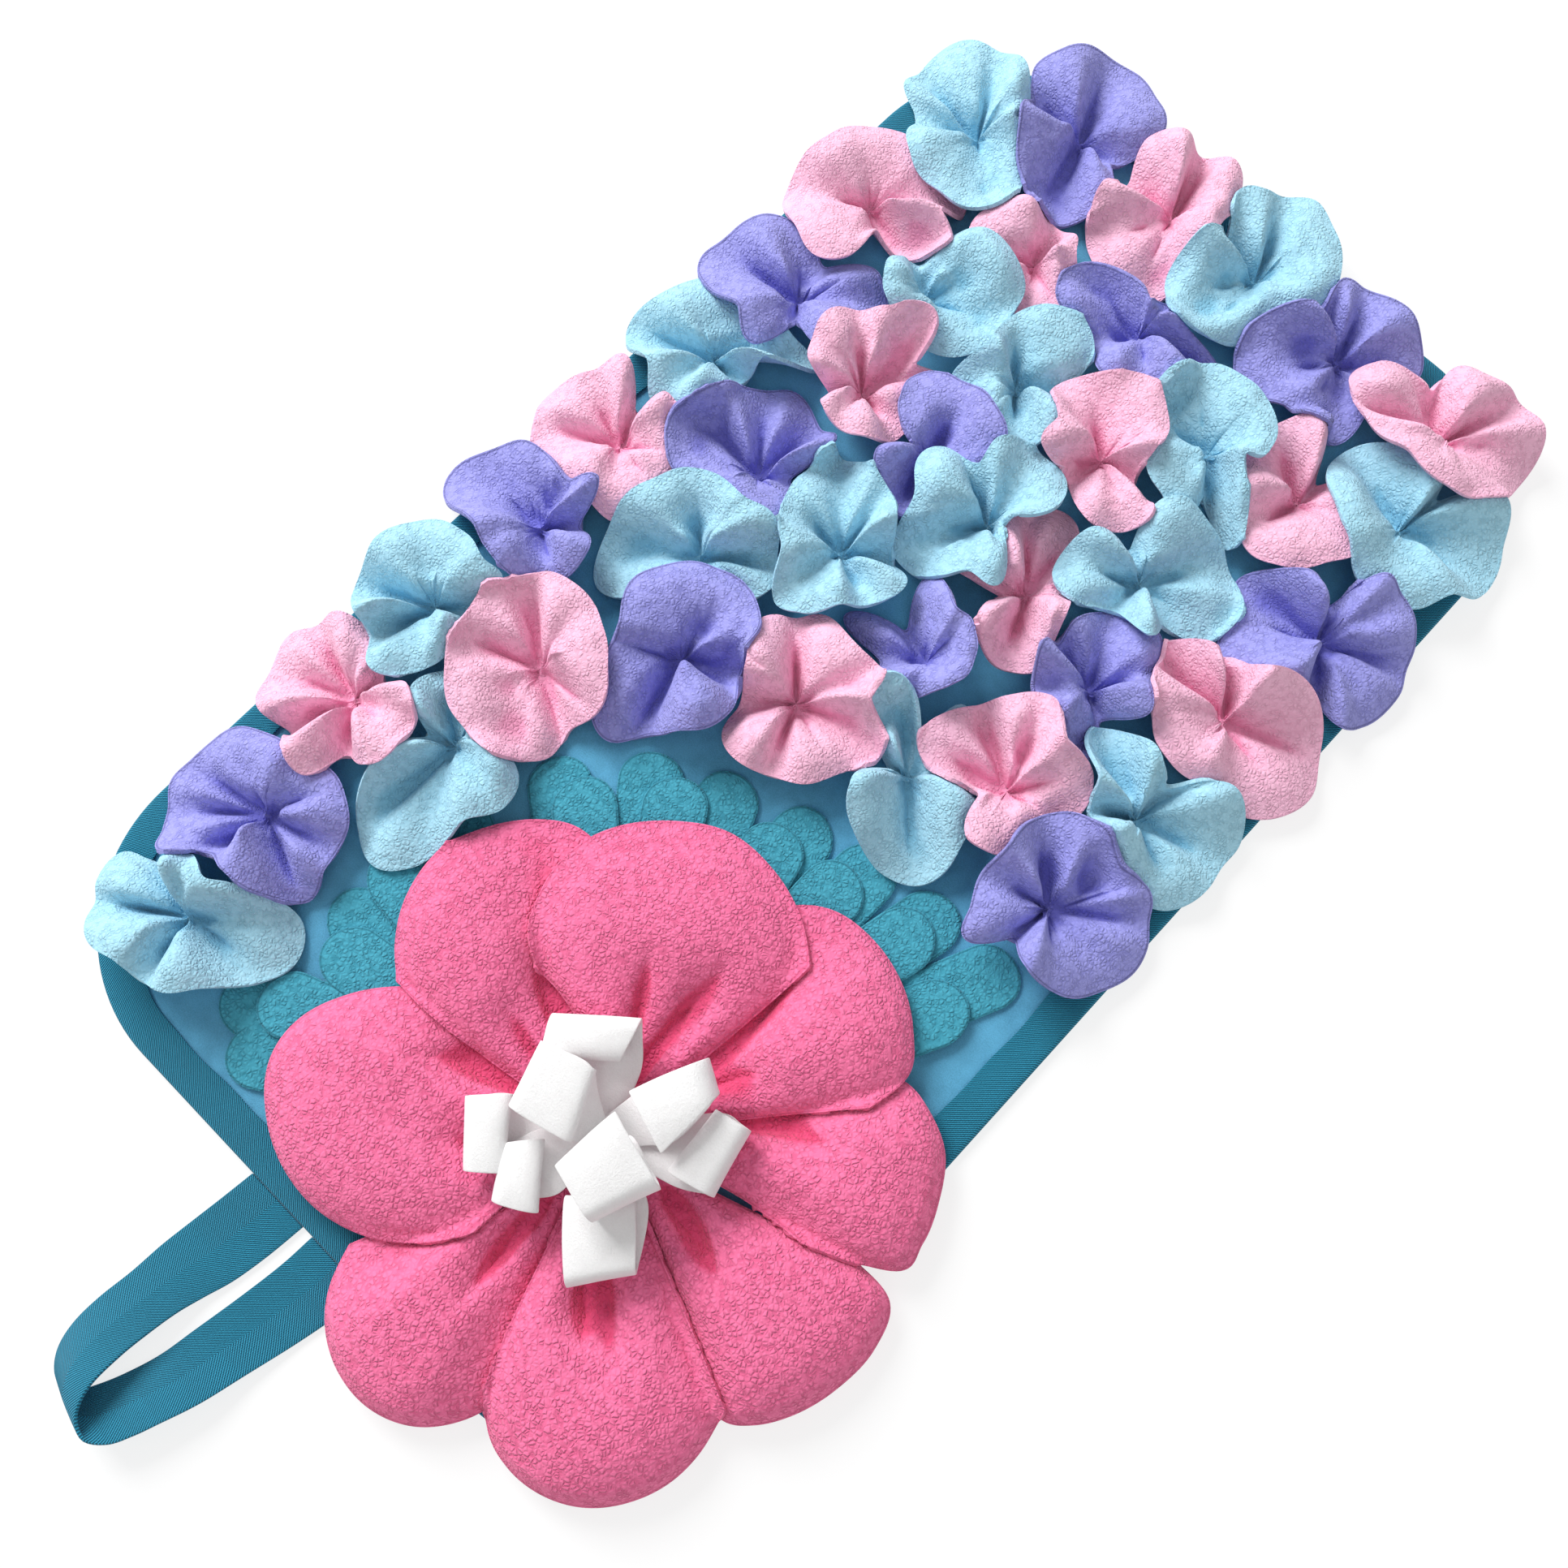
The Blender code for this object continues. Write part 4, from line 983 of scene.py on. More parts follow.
    def creases(self, angle: np.ndarray, radius: np.ndarray) -> np.ndarray:
        """Works out what the flower's folds take away, each steeper on its higher side.

        Args:
            angle: Each point's direction.
            radius: Its distance from the middle.

        Returns:
            The changes of height.
        """
        total = np.zeros_like(angle)
        rim = self.cloth.heights[:, 2]
        for kind, direction, place in self.row.folds:
            depth, width, start, past = kind.value
            beside_fold = direction + np.array([-self.fold_sides, self.fold_sides])
            before, after = round_curve(self.cloth.directions, rim, beside_fold)
            high = 1.0 if after > before else -1.0
            across, ahead = beside(angle, radius, direction)
            across = across * high
            first = place - start if kind is SHORT else start
            along = smoothstep(first - 3, first + 5, radius) * ahead
            along = along * (1 - smoothstep(0.35 * place, place + 0.5 * past, radius))
            steep = 0.45 if kind is DEEP else 0.75
            side = np.where(across > 0, width * steep, width * 1.3)
            sharp = np.exp(-np.abs(across) / (0.32 * side))
            broad = np.exp(-((across / (1.25 * side)) ** 2))
            notch = 0.6 * sharp + 0.4 * broad
            high_lip = np.exp(-(((across - 1.7 * width) / width) ** 2))
            low_lip = np.exp(-(((across + 2.2 * width) / (1.3 * width)) ** 2))
            total += depth * (0.4 * high_lip + 0.2 * low_lip - 1.6 * notch) * along
        return total

    def puckers(self, rng: np.random.Generator, angle: np.ndarray, radius: np.ndarray) -> np.ndarray:
        """Works out the small gathers that run out from the stitched middle.

        Args:
            rng: The flower's own random numbers.
            angle: Each point's direction.
            radius: Its distance from the middle.

        Returns:
            The changes of height.
        """
        total = np.zeros_like(angle)
        count = 8
        for direction in np.linspace(0, 360, count, endpoint=False) + rng.uniform(-16, 16, count):
            across, ahead = beside(angle, radius, direction)
            reach = rng.uniform(7, 15)
            along = smoothstep(0.5, 3.0, radius) * (1 - smoothstep(reach * 0.5, reach, radius)) * ahead
            total -= rng.uniform(1.6, 3.4) * np.exp(-np.abs(across) / 1.1) * along
        return total

    def build(self, frame: dict, ground: Ground) -> bpy.types.Object:
        """Makes the flower and lays it down.

        Args:
            frame: The loaded frame.
            ground: What lies below; the flower is added to it.

        Returns:
            The piece.
        """
        node = f"flower_{self.row.number:02d}"
        self.cloth = FlowerRays.of_node(frame["nodes"][node])
        bm = self.upper_face(ground)
        ground.lay(bm)
        flat_area(bm) <= self.covered * math.pi * self.disc**2
        piece = finish_cloth(f"small_{node}", bm, FLOWER_FLEECE[self.row.cloth], node, FLEECE)
        return piece


# ---------------------------------------------------------------- large flower

HEART = (72.0, -216.0)


@dataclass
class Valley:
    """A petal's fold: its direction and distance at each end, its depth and its half width."""

    start: tuple[float, float]
    end: tuple[float, float]
    depth: float
    width: float

    def sunk(self, direction: np.ndarray, distance: np.ndarray) -> np.ndarray:
        """Returns how far the cloth sinks at each place.

        Args:
            direction: Directions from the heart.
            distance: Distances from the heart.

        Returns:
            The depths.
        """
        share = np.clip((distance - self.start[1]) / (self.end[1] - self.start[1]), -0.5, 1.5)
        middle = self.start[0] + turn_between(self.end[0], self.start[0]) * share
        across, _ = beside(direction, distance, middle)
        along = smoothstep(-0.5, 0.1, share) * (1 - smoothstep(0.35, 1.25, share))
        spread_out = self.width * (0.8 + 0.9 * np.clip(share, 0, 1.2))
        sharp = np.exp(-np.abs(across / (0.5 * spread_out)) ** 1.4)
        broad = np.exp(-((across / (1.9 * spread_out)) ** 2))
        return 1.6 * self.depth * along * (0.35 * sharp + 0.65 * broad)


@dataclass
class Petal:
    """A petal's row.

    It holds its root's span, its rim as (direction, reach), its rim's height, how far from
    its middle line each side dips under its neighbour (0 where it doesn't), and its folds.
    """

    number: int
    root: tuple[float, float]
    rim: tuple[tuple[float, float], ...]
    rim_height: float
    tucked: tuple[float, float]
    valleys: tuple[Valley, ...] = ()


# In laying order, from the petals that lie lowest to the one on top.
PETALS = (
    Petal(5, (337, 18), ((335, 108), (338, 126), (343, 134), (350, 140), (358, 144), (7, 146), (15, 141),
                         (19, 118)), 12, (0.8, 0), (Valley((1, 42), (355, 78), 9, 4.5),)),
    Petal(7, (246, 291), ((246, 118), (252, 132), (258, 141), (265, 146), (273, 146), (281, 140), (288, 128),
                          (294, 112)), 12, (0.75, 0.8), (Valley((272, 44), (273, 88), 9, 5),)),
    Petal(4, (24, 57), ((17, 96), (20, 138), (26, 145), (33, 148), (41, 149), (48, 143), (54, 134),
                        (59, 116)), 13, (0, 0.66), (Valley((50, 58), (41, 106), 8, 5),)),
    Petal(6, (286, 342), ((289, 112), (293, 129), (299, 140), (307, 147), (315, 149), (324, 145), (332, 136),
                          (340, 122)), 11, (0, 0),
          (Valley((309, 52), (309, 84), 10, 4), Valley((317, 60), (317, 104), 4, 6))),
    Petal(3, (51, 95), ((50, 116), (55, 136), (62, 143), (70, 147), (79, 147), (88, 142), (95, 130),
                        (101, 112)), 14, (0, 0.4),
          (Valley((79, 52), (83, 104), 7, 4.5), Valley((68, 50), (66, 78), 6, 6))),
    Petal(8, (187, 255), ((183, 98), (188, 112), (195, 130), (203, 146), (211, 152), (220, 148), (230, 138),
                          (240, 122), (250, 98), (260, 66)), 14, (0.84, 0),
          (Valley((191, 44), (200, 88), 7, 5), Valley((228, 36), (224, 70), 5, 6))),
    Petal(1, (133, 193), ((133, 120), (140, 138), (148, 146), (157, 149), (166, 148), (175, 140), (182, 129),
                          (188, 116)), 15, (0.4, 0),
          (Valley((158, 52), (157, 88), 6, 5), Valley((175, 44), (172, 76), 4, 5))),
    Petal(2, (81, 141), ((83, 116), (92, 129), (102, 139), (112, 145), (122, 143), (132, 138), (140, 130),
                         (148, 116), (155, 97), (157, 78)), 17, (0, 0),
          (Valley((119, 46), (120, 84), 6, 4.5), Valley((103, 40), (98, 90), 8, 4.5))),
)


@dataclass
class LargePetal:
    """One petal of the large flower, full over its middle and drawn in at the heart."""

    row: Petal
    columns: int = 92
    rows: int = 66
    root_radius: float = 9.0
    # Heights over the root, at places from root to rim, and how far the sides sink below the middle there.
    shares: tuple[float, ...] = (0.0, 0.12, 0.25, 0.4, 0.55, 0.7, 0.85, 0.95, 1.0)
    crown: tuple[float, ...] = (10.6, 13.5, 18.5, 23.0, 26.0, 27.0, 25.0, 19.5, 0.0)
    side_drop: tuple[float, ...] = (0.0, 3.5, 8.5, 12.0, 13.0, 12.0, 9.0, 5.0, 1.0)
    # Where a tucked side starts to sink before its seam and stops past it, and how much more than a free one.
    seam_soft: tuple[float, float] = (0.55, 0.15)
    tucked_drop: float = 1.15
    lowest: float = 9.8
    cut: tuple[float, float] = (125.0, 145.0)
    # About the angle that it spans and its run from heart to rim, for distances from its cut edges.
    span: float = 50.0
    run: float = 130.0

    def seam(self, across: np.ndarray) -> np.ndarray:
        """Returns where the side at each place dips under its neighbour, 0 where it is free."""
        return np.where(across < 0.5, self.row.tucked[0], self.row.tucked[1])

    def sunk_share(self, across: np.ndarray) -> np.ndarray:
        """Works out how much of the side's drop shows at each place.

        Args:
            across: Place across the petal, 0 to 1.

        Returns:
            The shares: rounded where the side is free, and a soft step at the seam where it is tucked in.
        """
        before, past = self.seam_soft
        side = np.abs(2 * across - 1)
        seam = self.seam(across)
        tucked = self.tucked_drop * smoothstep(seam - before, seam + past, side)
        seams = [place for place in self.row.tucked if place]
        at_middle = max((smoothstep(place - before, place + past, 0.0) for place in seams), default=0.0)
        free = np.maximum(0.75 * side**2.4 + 0.35 * side**8, self.tucked_drop * at_middle * (1 - side) ** 2)
        return np.where(seam > 0, tucked, free)

    def plan(self, across: np.ndarray, along: np.ndarray) -> tuple[np.ndarray, np.ndarray, np.ndarray]:
        """Works out where the petal's points lie in plan.

        Args:
            across: Place across the petal, 0 to 1.
            along: Place from its root to its rim, 0 to 1.

        Returns:
            The plan points, and their directions and distances from the heart.
        """
        first = self.row.rim[0][0]
        rim = [(first + turn_between(angle, first), reach) for angle, reach in self.row.rim]
        line = open_curve(np.array(rim), across * (len(rim) - 1))
        span = (self.row.root[1] - self.row.root[0]) % 360
        root = self.row.root[0] + span * across
        direction = root + turn_between(line[:, 0], root) * along**1.6
        distance = self.root_radius + (line[:, 1] - self.root_radius) * along
        return np.array(HEART) + distance[:, None] * heading(direction), direction, distance

    def heights(self, across: np.ndarray, along: np.ndarray, direction: np.ndarray, distance: np.ndarray
                ) -> np.ndarray:
        """Works out the petal's heights before it meets its neighbours.

        Args:
            across: Place across the petal, 0 to 1.
            along: Place from its root to its rim, 0 to 1.
            direction: Directions from the heart.
            distance: Distances from the heart.

        Returns:
            The heights.
        """
        crown = np.array(self.crown[:-1] + (self.row.rim_height,))
        knots = np.interp(along, self.shares, np.arange(len(crown)))
        level = open_curve(np.column_stack([crown, self.side_drop]), knots)
        height = level[:, 0] - level[:, 1] * self.sunk_share(across)
        for valley in self.row.valleys:
            height -= valley.sunk(direction, distance)
        rng = np.random.default_rng(self.row.number)
        phase = rng.uniform(0, math.tau, 3)
        rim = along**5
        height += (0.9 * np.sin(across * 8 + phase[0]) + 0.5 * np.sin(across * 15 + phase[1])) * rim
        height += 0.5 * np.sin(across * 11 + along * 7 + phase[2]) * smoothstep(0.2, 0.5, along)
        return np.maximum(height, self.lowest)

    def build(self, ground: Ground) -> bpy.types.Object:
        """Makes the petal and lays it down.

        Args:
            ground: What lies below; the petal is added to it.

        Returns:
            The piece.
        """
        bm, grid = unit_grid(self.columns, self.rows)
        across = 0.5 * (0.5 - 0.5 * np.cos(math.pi * grid[:, 0])) + 0.5 * grid[:, 0]
        along = grid[:, 1] ** 0.85
        plan, direction, distance = self.plan(across, along)
        height = self.heights(across, along, direction, distance)
        points = settle(bm, np.column_stack([plan, height]), ground, rounds=(20, 8))
        place_points(bm, points)
        from_side = np.minimum(across, 1 - across) * distance * math.radians(self.span)
        from_rim = (1 - along) * self.run
        from_free = np.where(self.seam(across) > 0, from_rim, np.minimum(from_rim, 2.0 * from_side))
        # Painted shade in the petal's valleys and towards its heart.
        set_painted_fold_shade(bm, points[:, 2], from_free, deep=1.6, rounds=200, middle=(0.25, 120.0))
        store(bm, "inset", np.minimum(from_rim, from_side))
        area = flat_area(bm)
        ground.lay(bm)
        node = f"petal_{self.row.number}"
        piece = finish_cloth(f"large_{node}", bm, PETAL_FLEECE, node, FLEECE, round_edge=0.6)
        return piece


@dataclass
class TongueLayer:
    """One layer of round-ended tongues under the large flower."""

    name: str
    node: str
    tongues: tuple[tuple[float, float], ...]
    top: float
    half_width: float = 15.5
    drawn_back: float = 62.0
    cut_share: float = 0.55
    fullness: float = 0.5

    def tongue(self, bm: bmesh.types.BMesh, number: int, direction: float, distance: float) -> None:
        """Adds one tongue: a disc whose inner half is drawn back under the petals.

        Args:
            bm: The layer's mesh.
            number: The tongue's place in the layer.
            direction: Where it points, from the heart.
            distance: How far its round end's centre lies.
        """
        rng = np.random.default_rng(number + int(distance))
        rings = 7
        steps = 44
        spoke = [bm.verts.new((ring, 0, 0)) for ring in np.linspace(0, 1, rings + 1) ** 0.8]
        lines = [bm.edges.new(pair) for pair in zip(spoke, spoke[1:])]
        before = set(bm.verts) - set(spoke)
        bmesh.ops.spin(bm, geom=spoke + lines, axis=(0, 0, 1), cent=(0, 0, 0), steps=steps, angle=math.tau,
                       use_merge=True)
        added = [vert for vert in bm.verts if vert not in before]
        bmesh.ops.remove_doubles(bm, verts=added, dist=1e-4)
        layer = bm.verts.layers.float["inset"]
        middle = np.array(HEART) + distance * heading(direction)
        out, side = heading(direction), heading(direction + 90)
        lean = rng.uniform(-0.4, 0.4)
        for vert in [vert for vert in bm.verts if vert not in before]:
            x, y = vert.co.x, vert.co.y
            radius = math.hypot(x, y)
            vert[layer] = (1 - radius) * self.half_width
            wobble = 1 + 0.02 * math.sin(3 * math.atan2(y, x) + number)
            along = self.half_width * x * wobble - (self.drawn_back * min(1.0, -2.2 * x) if x < 0 else 0.0)
            across = self.half_width * y * wobble
            place = middle + along * out + across * side
            puff = self.fullness * (1 - radius**4)
            vert.co = (*place, self.top - self.fullness + puff + lean * y)

    def build(self, ground: Ground) -> bpy.types.Object:
        """Makes the layer.

        Args:
            ground: What lies below; the layer is added to it.

        Returns:
            The piece.
        """
        bm = bmesh.new()
        bm.verts.layers.float.new("inset")
        for number, (direction, distance) in enumerate(self.tongues):
            self.tongue(bm, number, direction, distance)
        ground.lay(bm)
        area = flat_area(bm)
        piece = finish_cloth(self.name, bm, TONGUE_FLEECE, self.node, FLEECE)
        return piece


TONGUES = (
    TongueLayer("long_tongues", "tongues_long", ((211, 160), (204, 171), (184, 150), (161, 160), (143, 160),
                                                 (128, 161), (115, 159), (101, 159), (89, 164), (77, 172),
                                                 (66, 184)), 5.3),
    TongueLayer("short_tongues", "tongues_short", ((202, 154), (190, 140), (174, 151), (139, 148), (123, 150),
                                                   (104, 145), (91, 147), (77, 158), (64, 156)), 7.6),
)


Place = tuple[float, float]


@dataclass
class Curl:
    """One curled end of a strip, by its upper run's corners: near the heart and far from it, left and right.

    Left and right are seen from the heart outwards. The lower run starts from its own near
    corners where they show, and rises from the heart at a share of the way out.
    """

    near: tuple[Place, Place]
    far: tuple[Place, Place]
    low: float
    high: float
    under: tuple[Place, Place] | None = None
    rise: float = 0.15
    turned_in: bool = True


@dataclass
class CurlStrip:
    """A white strip sewn down at the heart, each of its ends curled over."""

    number: int
    ends: tuple[Curl, Curl]
    tail: float
    cut_width: float = 42.0
    thickness: float = 2.2
    pinch: float = 14.0
    bow: float = 2.0
    columns: int = 15
    samples: int = 190

    def sections(self, curl: Curl) -> list[np.ndarray]:
        """Works out the strip's sections from the heart round one curl.

        Args:
            curl: The curl.

        Returns:
            Each section as (left x, left y, left height, right x, right y, right height).
        """
        heart = np.array(HEART)
        near, far = np.array(curl.near, float), np.array(curl.far, float)
        under = np.array(curl.under or curl.near, float)
        out = far.mean(axis=0) - heart
        length = float(np.linalg.norm(far.mean(axis=0) - near.mean(axis=0)))
        out /= np.linalg.norm(out)
        left = np.array((-out[1], out[0])) * self.pinch / 2
        pinched = np.array([heart + left + 3 * out, heart - left + 3 * out])
        radius = (curl.high - curl.low) / 2
        bend = min(radius, 0.45 * length) / length
        rows = [(pinched, self.tail)]
        start = under + (far - under) * curl.rise
        rows.append((0.45 * pinched + 0.55 * start, 0.4 * self.tail + 0.6 * curl.low))
        rows.append((start, curl.low + 0.5))
        steps, middle = 8, 4
        for step in range(steps + 1):
            out_share, up = heading(180.0 * step / steps - 90.0)
            base = under if step < middle else near if step > middle else (near + under) / 2
            share = 1 - bend + bend * out_share
            rows.append((base + (far - base) * share, curl.low + radius + radius * up))
        rows.append((near + (far - near) * 0.35, curl.high + 0.4))
        turn = min(radius, 3.2) / length
        if curl.turned_in:
            for step in range(3):
                out_share, up = heading(90.0 + 45.0 * step)
                rows.append((near + (far - near) * turn * (1 + out_share),
                             curl.high - (1 - up) * turn * length))
            rows.append((near + (far - near) * 1.6 * turn, curl.high - 2.6 * turn * length))
        else:
            rows.append((near, curl.high - 1.2))
        return [np.array((*pair[0], level, *pair[1], level)) for pair, level in rows]

    def build(self) -> bpy.types.Object:
        """Makes the strip.

        Returns:
            The piece.
        """
        first, second = (self.sections(curl) for curl in self.ends)
        turned = [np.concatenate([row[3:], row[:3]]) for row in reversed(first)]
        stations = np.array(turned + second)
        steps = run_lengths((stations[:, :3] + stations[:, 3:]) / 2)
        length = float(steps[-1])
        bm, grid = unit_grid(self.samples, self.columns)
        along, across = grid[:, 0], grid[:, 1]
        line = open_curve(stations, np.interp(along * length, steps, np.arange(len(steps))))
        points = line[:, :3] + (line[:, 3:] - line[:, :3]) * across[:, None]
        _, *phase = np.random.default_rng(70 + self.number).uniform(0, math.tau, 4)
        side = 2 * across - 1
        points[:, 2] += self.bow * (1 - 0.6 * side**2 - 0.4 * side**6)
        points[:, 2] += 0.4 * np.sin(along * 23 + across * 5 + phase[0])
        points[:, 0] += 0.3 * np.sin(along * 31 + across * 4 + phase[1])
        points[:, 1] += 0.3 * np.sin(along * 27 + across * 3 + phase[2])
        points = np.column_stack([spread(bm, points[:, axis], 8, keep_high=False) for axis in range(3)])
        place_points(bm, points)
        width = np.linalg.norm(line[:, :3] - line[:, 3:], axis=1)
        from_end = np.minimum(along, 1 - along) * length
        store(bm, "inset", np.minimum(np.minimum(across, 1 - across) * width, from_end))
        cut = self.cut_width * length
        area = float(np.clip(flat_area(bm), 0.32 * cut, cut))
        piece = finish_cloth(f"white_strip_{self.number}", bm, STRIP_CLOTH, f"curl_strip_{self.number}",
                             self.thickness, 0.0, round_edge=0.9)
        return piece


STRIPS = (
    CurlStrip(1, (Curl(((28, -210), (57, -185)), ((18, -195), (52, -167)), 21.5, 33,
                       ((28, -210), (67, -182))),
                  Curl(((103, -222), (77, -244)), ((123, -242), (103, -269)), 22.5, 33,
                       ((106, -217), (77, -244)))), 12.9),
    CurlStrip(2, (Curl(((54, -255), (31, -227)), ((42, -266), (17, -241)), 22.5, 34),
                  Curl(((100, -171), (103, -207)), ((115, -167), (124, -202)), 22.5, 35,
                       ((100, -171), (108, -211)))), 15.8),
    CurlStrip(3, (Curl(((76, -256), (54, -231)), ((59, -266), (44, -243)), 24, 35,
                       ((79, -243), (51, -227))),
                  Curl(((66, -193), (98, -202)), ((81, -160), (97, -168)), 27, 45, None, 0.2, False)), 18.7),
    CurlStrip(4, (Curl(((66, -226), (51, -194)), ((37, -233), (27, -201)), 36.5, 46),
                  Curl(((70, -199), (67, -236)), ((106, -209), (93, -241)), 37, 51, None, 0.4, False)), 21.6),
)


# ---------------------------------------------------------------- mat, binding and strap


@dataclass
class Mat:
    """The felt mat's outline, shared by the felt and its binding."""

    width: float = 380.0
    length: float = 670.0
    corner: float = 86.0
    felt_thick: float = 2.6
    tape_shown: float = 18.0
    tape_top: float = 4.3
    tape: float = 0.9
    tape_cut: float = 38.0

    def outline(self, inset: float, corner_steps: int, side_step: float) -> np.ndarray:
        """Returns the outline, drawn in by inset, as closely spaced points.

        Args:
            inset: How far inside the mat's edge.
            corner_steps: Points to a corner.
            side_step: Spacing along the straight sides.

        Returns:
            The points and each one's outward direction, as rows of four.
        """
        rows = []
        radius = max(self.corner - inset, 1.0)
        for corner, (side_x, side_y) in enumerate(((1, 1), (-1, 1), (-1, -1), (1, -1))):
            middle = np.array((side_x * (self.width / 2 - self.corner),
                               side_y * (self.length / 2 - self.corner)))
            for step in range(corner_steps + 1):
                out = heading(90.0 * (corner + step / corner_steps))
                rows.append((*(middle + radius * out), *out))
            run = (self.length if corner % 2 else self.width) - 2 * self.corner
            out, along = heading(90.0 * (corner + 1)), heading(90.0 * (corner + 2))
            count = int(run / side_step)
            for step in range(1, count):
                rows.append((*(middle + radius * out + along * run * step / count), *out))
        return np.array(rows)

    def felt(self, ground: Ground) -> bpy.types.Object:
        """Makes the felt, with the slight rise and fall of a sheet that has been sewn all over.

        Args:
            ground: The floor; the felt is added to it.

        Returns:
            The piece.
        """
        bm = bmesh.new()
        loops = []
        insets = (1.4, 6.0, 12.0, 18.0, 22.0, 26.0, 32.0, 40.0, 50.0, 62.0, 74.0, 85.0)
        for inset in insets:
            rows = self.outline(inset, 20, 8.0)
            verts = [bm.verts.new((*row[:2], inset)) for row in rows]
            loops.append([bm.edges.new(pair) for pair in zip(verts, verts[1:] + verts[:1])])
        for first, second in zip(loops, loops[1:]):
            bmesh.ops.bridge_loops(bm, edges=first + second)
        bmesh.ops.contextual_create(bm, geom=loops[-1])
        bmesh.ops.triangulate(bm, faces=[face for face in bm.faces if len(face.verts) > 4])
        # Under the tape the felt is pressed flat.
        for vert in bm.verts:
            x, y, inset = vert.co
            rise = 0.25 * math.sin(x * 0.11 + 1.3) * math.sin(y * 0.09) + 0.15 * math.sin(x * 0.23 - y * 0.17)
            vert.co.z = FELT_TOP - 0.3 + rise if inset > self.tape_shown + 3 else FELT_TOP - 0.35
        store(bm, "inset", FAR_INSIDE)
        ground.lay(bm)
        piece = finish_cloth("felt_mat", bm, FELT_CLOTH, "base_felt", self.felt_thick, round_edge=0.0)
        return piece

    def binding(self, ground: Ground) -> bpy.types.Object:
        """Makes the tape folded round the mat's edge.

        Args:
            ground: The floor and felt; the binding is added to it.

        Returns:
            The piece.
        """
        rows = self.outline(0.0, 28, 4.0)
        rows = np.vstack([rows, rows[:1]])
        steps = run_lengths(rows[:, :2])
        half = self.tape / 2
        centre = self.tape_top / 2
        radius = centre - half
        section = [(self.tape_shown - inset, inset, self.tape_top - half)
                   for inset in (18.0, 17.0, 14.0, 10.0, 6.0)]
        section += [(self.tape_shown - 2.2 + 0.6 * step, half + radius - radius * heading(90 - 30 * step)[0],
                     centre + radius * heading(90 - 30 * step)[1]) for step in range(7)]
        section += [(2 * self.tape_shown - inset, inset, half) for inset in (6.0, 10.0, 14.0, 18.0)]
        section = np.array(section)
        section[:, 0] -= self.tape_shown
        bm, grid = unit_grid(len(rows) - 1, len(section) - 1)
        place = np.round(grid[:, 0] * (len(rows) - 1)).astype(int)
        part = np.round(grid[:, 1] * (len(section) - 1)).astype(int)
        seen = section[part]
        wave = 0.5 * np.sin(steps[place] * 0.06) + 0.3 * np.sin(steps[place] * 0.17 + 1)
        inset = seen[:, 1] + wave * smoothstep(8, 18, seen[:, 1]) * (seen[:, 2] > centre)
        ripple = 0.18 * np.sin(steps[place] * 0.13) * smoothstep(4, 14, seen[:, 1]) * (seen[:, 2] > centre)
        plan = rows[place, :2] - rows[place, 2:] * inset[:, None]
        place_points(bm, np.column_stack([plan, seen[:, 2] + ripple]))
        self.tape_uv(bm, np.column_stack([seen[:, 0], steps[place]]))
        store(bm, "inset", FAR_INSIDE)
        bmesh.ops.remove_doubles(bm, verts=bm.verts, dist=1e-4)
        ground.lay(bm)
        piece = finish_cloth("binding_tape", bm, TAPE_CLOTH, "edge_binding", self.tape, 0.0, round_edge=0.2)
        return piece

    @staticmethod
    def tape_uv(bm: bmesh.types.BMesh, places: np.ndarray) -> None:
        """Stores each vertex's place on the tape, in metres, as the tape's own map.

        Args:
            bm: The tape's mesh.
            places: Each vertex's place across and along the tape, in millimetres.
        """
        layer = bm.loops.layers.uv.new("tape")
        bm.verts.index_update()
        for face in bm.faces:
            for loop in face.loops:
                loop[layer].uv = places[loop.vert.index] * MM


STRAP_EDGES = (
    # The edge on the floor and the free edge, each as (x, y, height), from one sewn end to the other.
    ((-30, -335.4, 1.4), (3, -335.4, 1.4)),
    ((-32, -352, 1.4), (1, -354, 1.4)),
    ((-34, -367, 1.4), (-2, -371, 1.6)),
    ((-36, -383, 1.4), (-6, -384, 3.0)),
    ((-37, -399, 1.4), (-9, -395, 6.0)),
    ((-39, -416, 1.4), (-11, -408, 9.0)),
    ((-39, -430, 1.4), (-12, -421, 13.0)),
    ((-36, -441, 1.4), (-11, -435, 18.0)),
    ((-30, -448, 1.4), (-6, -446, 18.5)),
    ((-23, -450, 1.4), (3, -451, 16.0)),
    ((-17, -447, 1.4), (11, -446, 14.5)),
    ((-12, -439, 1.4), (16, -437, 13.5)),
    ((-7, -428, 1.4), (20, -427, 12.5)),
    ((-2, -413, 1.4), (26, -411, 10.0)),
    ((1, -396, 1.4), (31, -392, 5.0)),
    ((5, -373, 1.4), (37, -369, 1.8)),
    ((8, -352, 1.4), (41, -350, 1.4)),
    ((9, -335.4, 1.4), (42, -335.4, 1.4)),
)


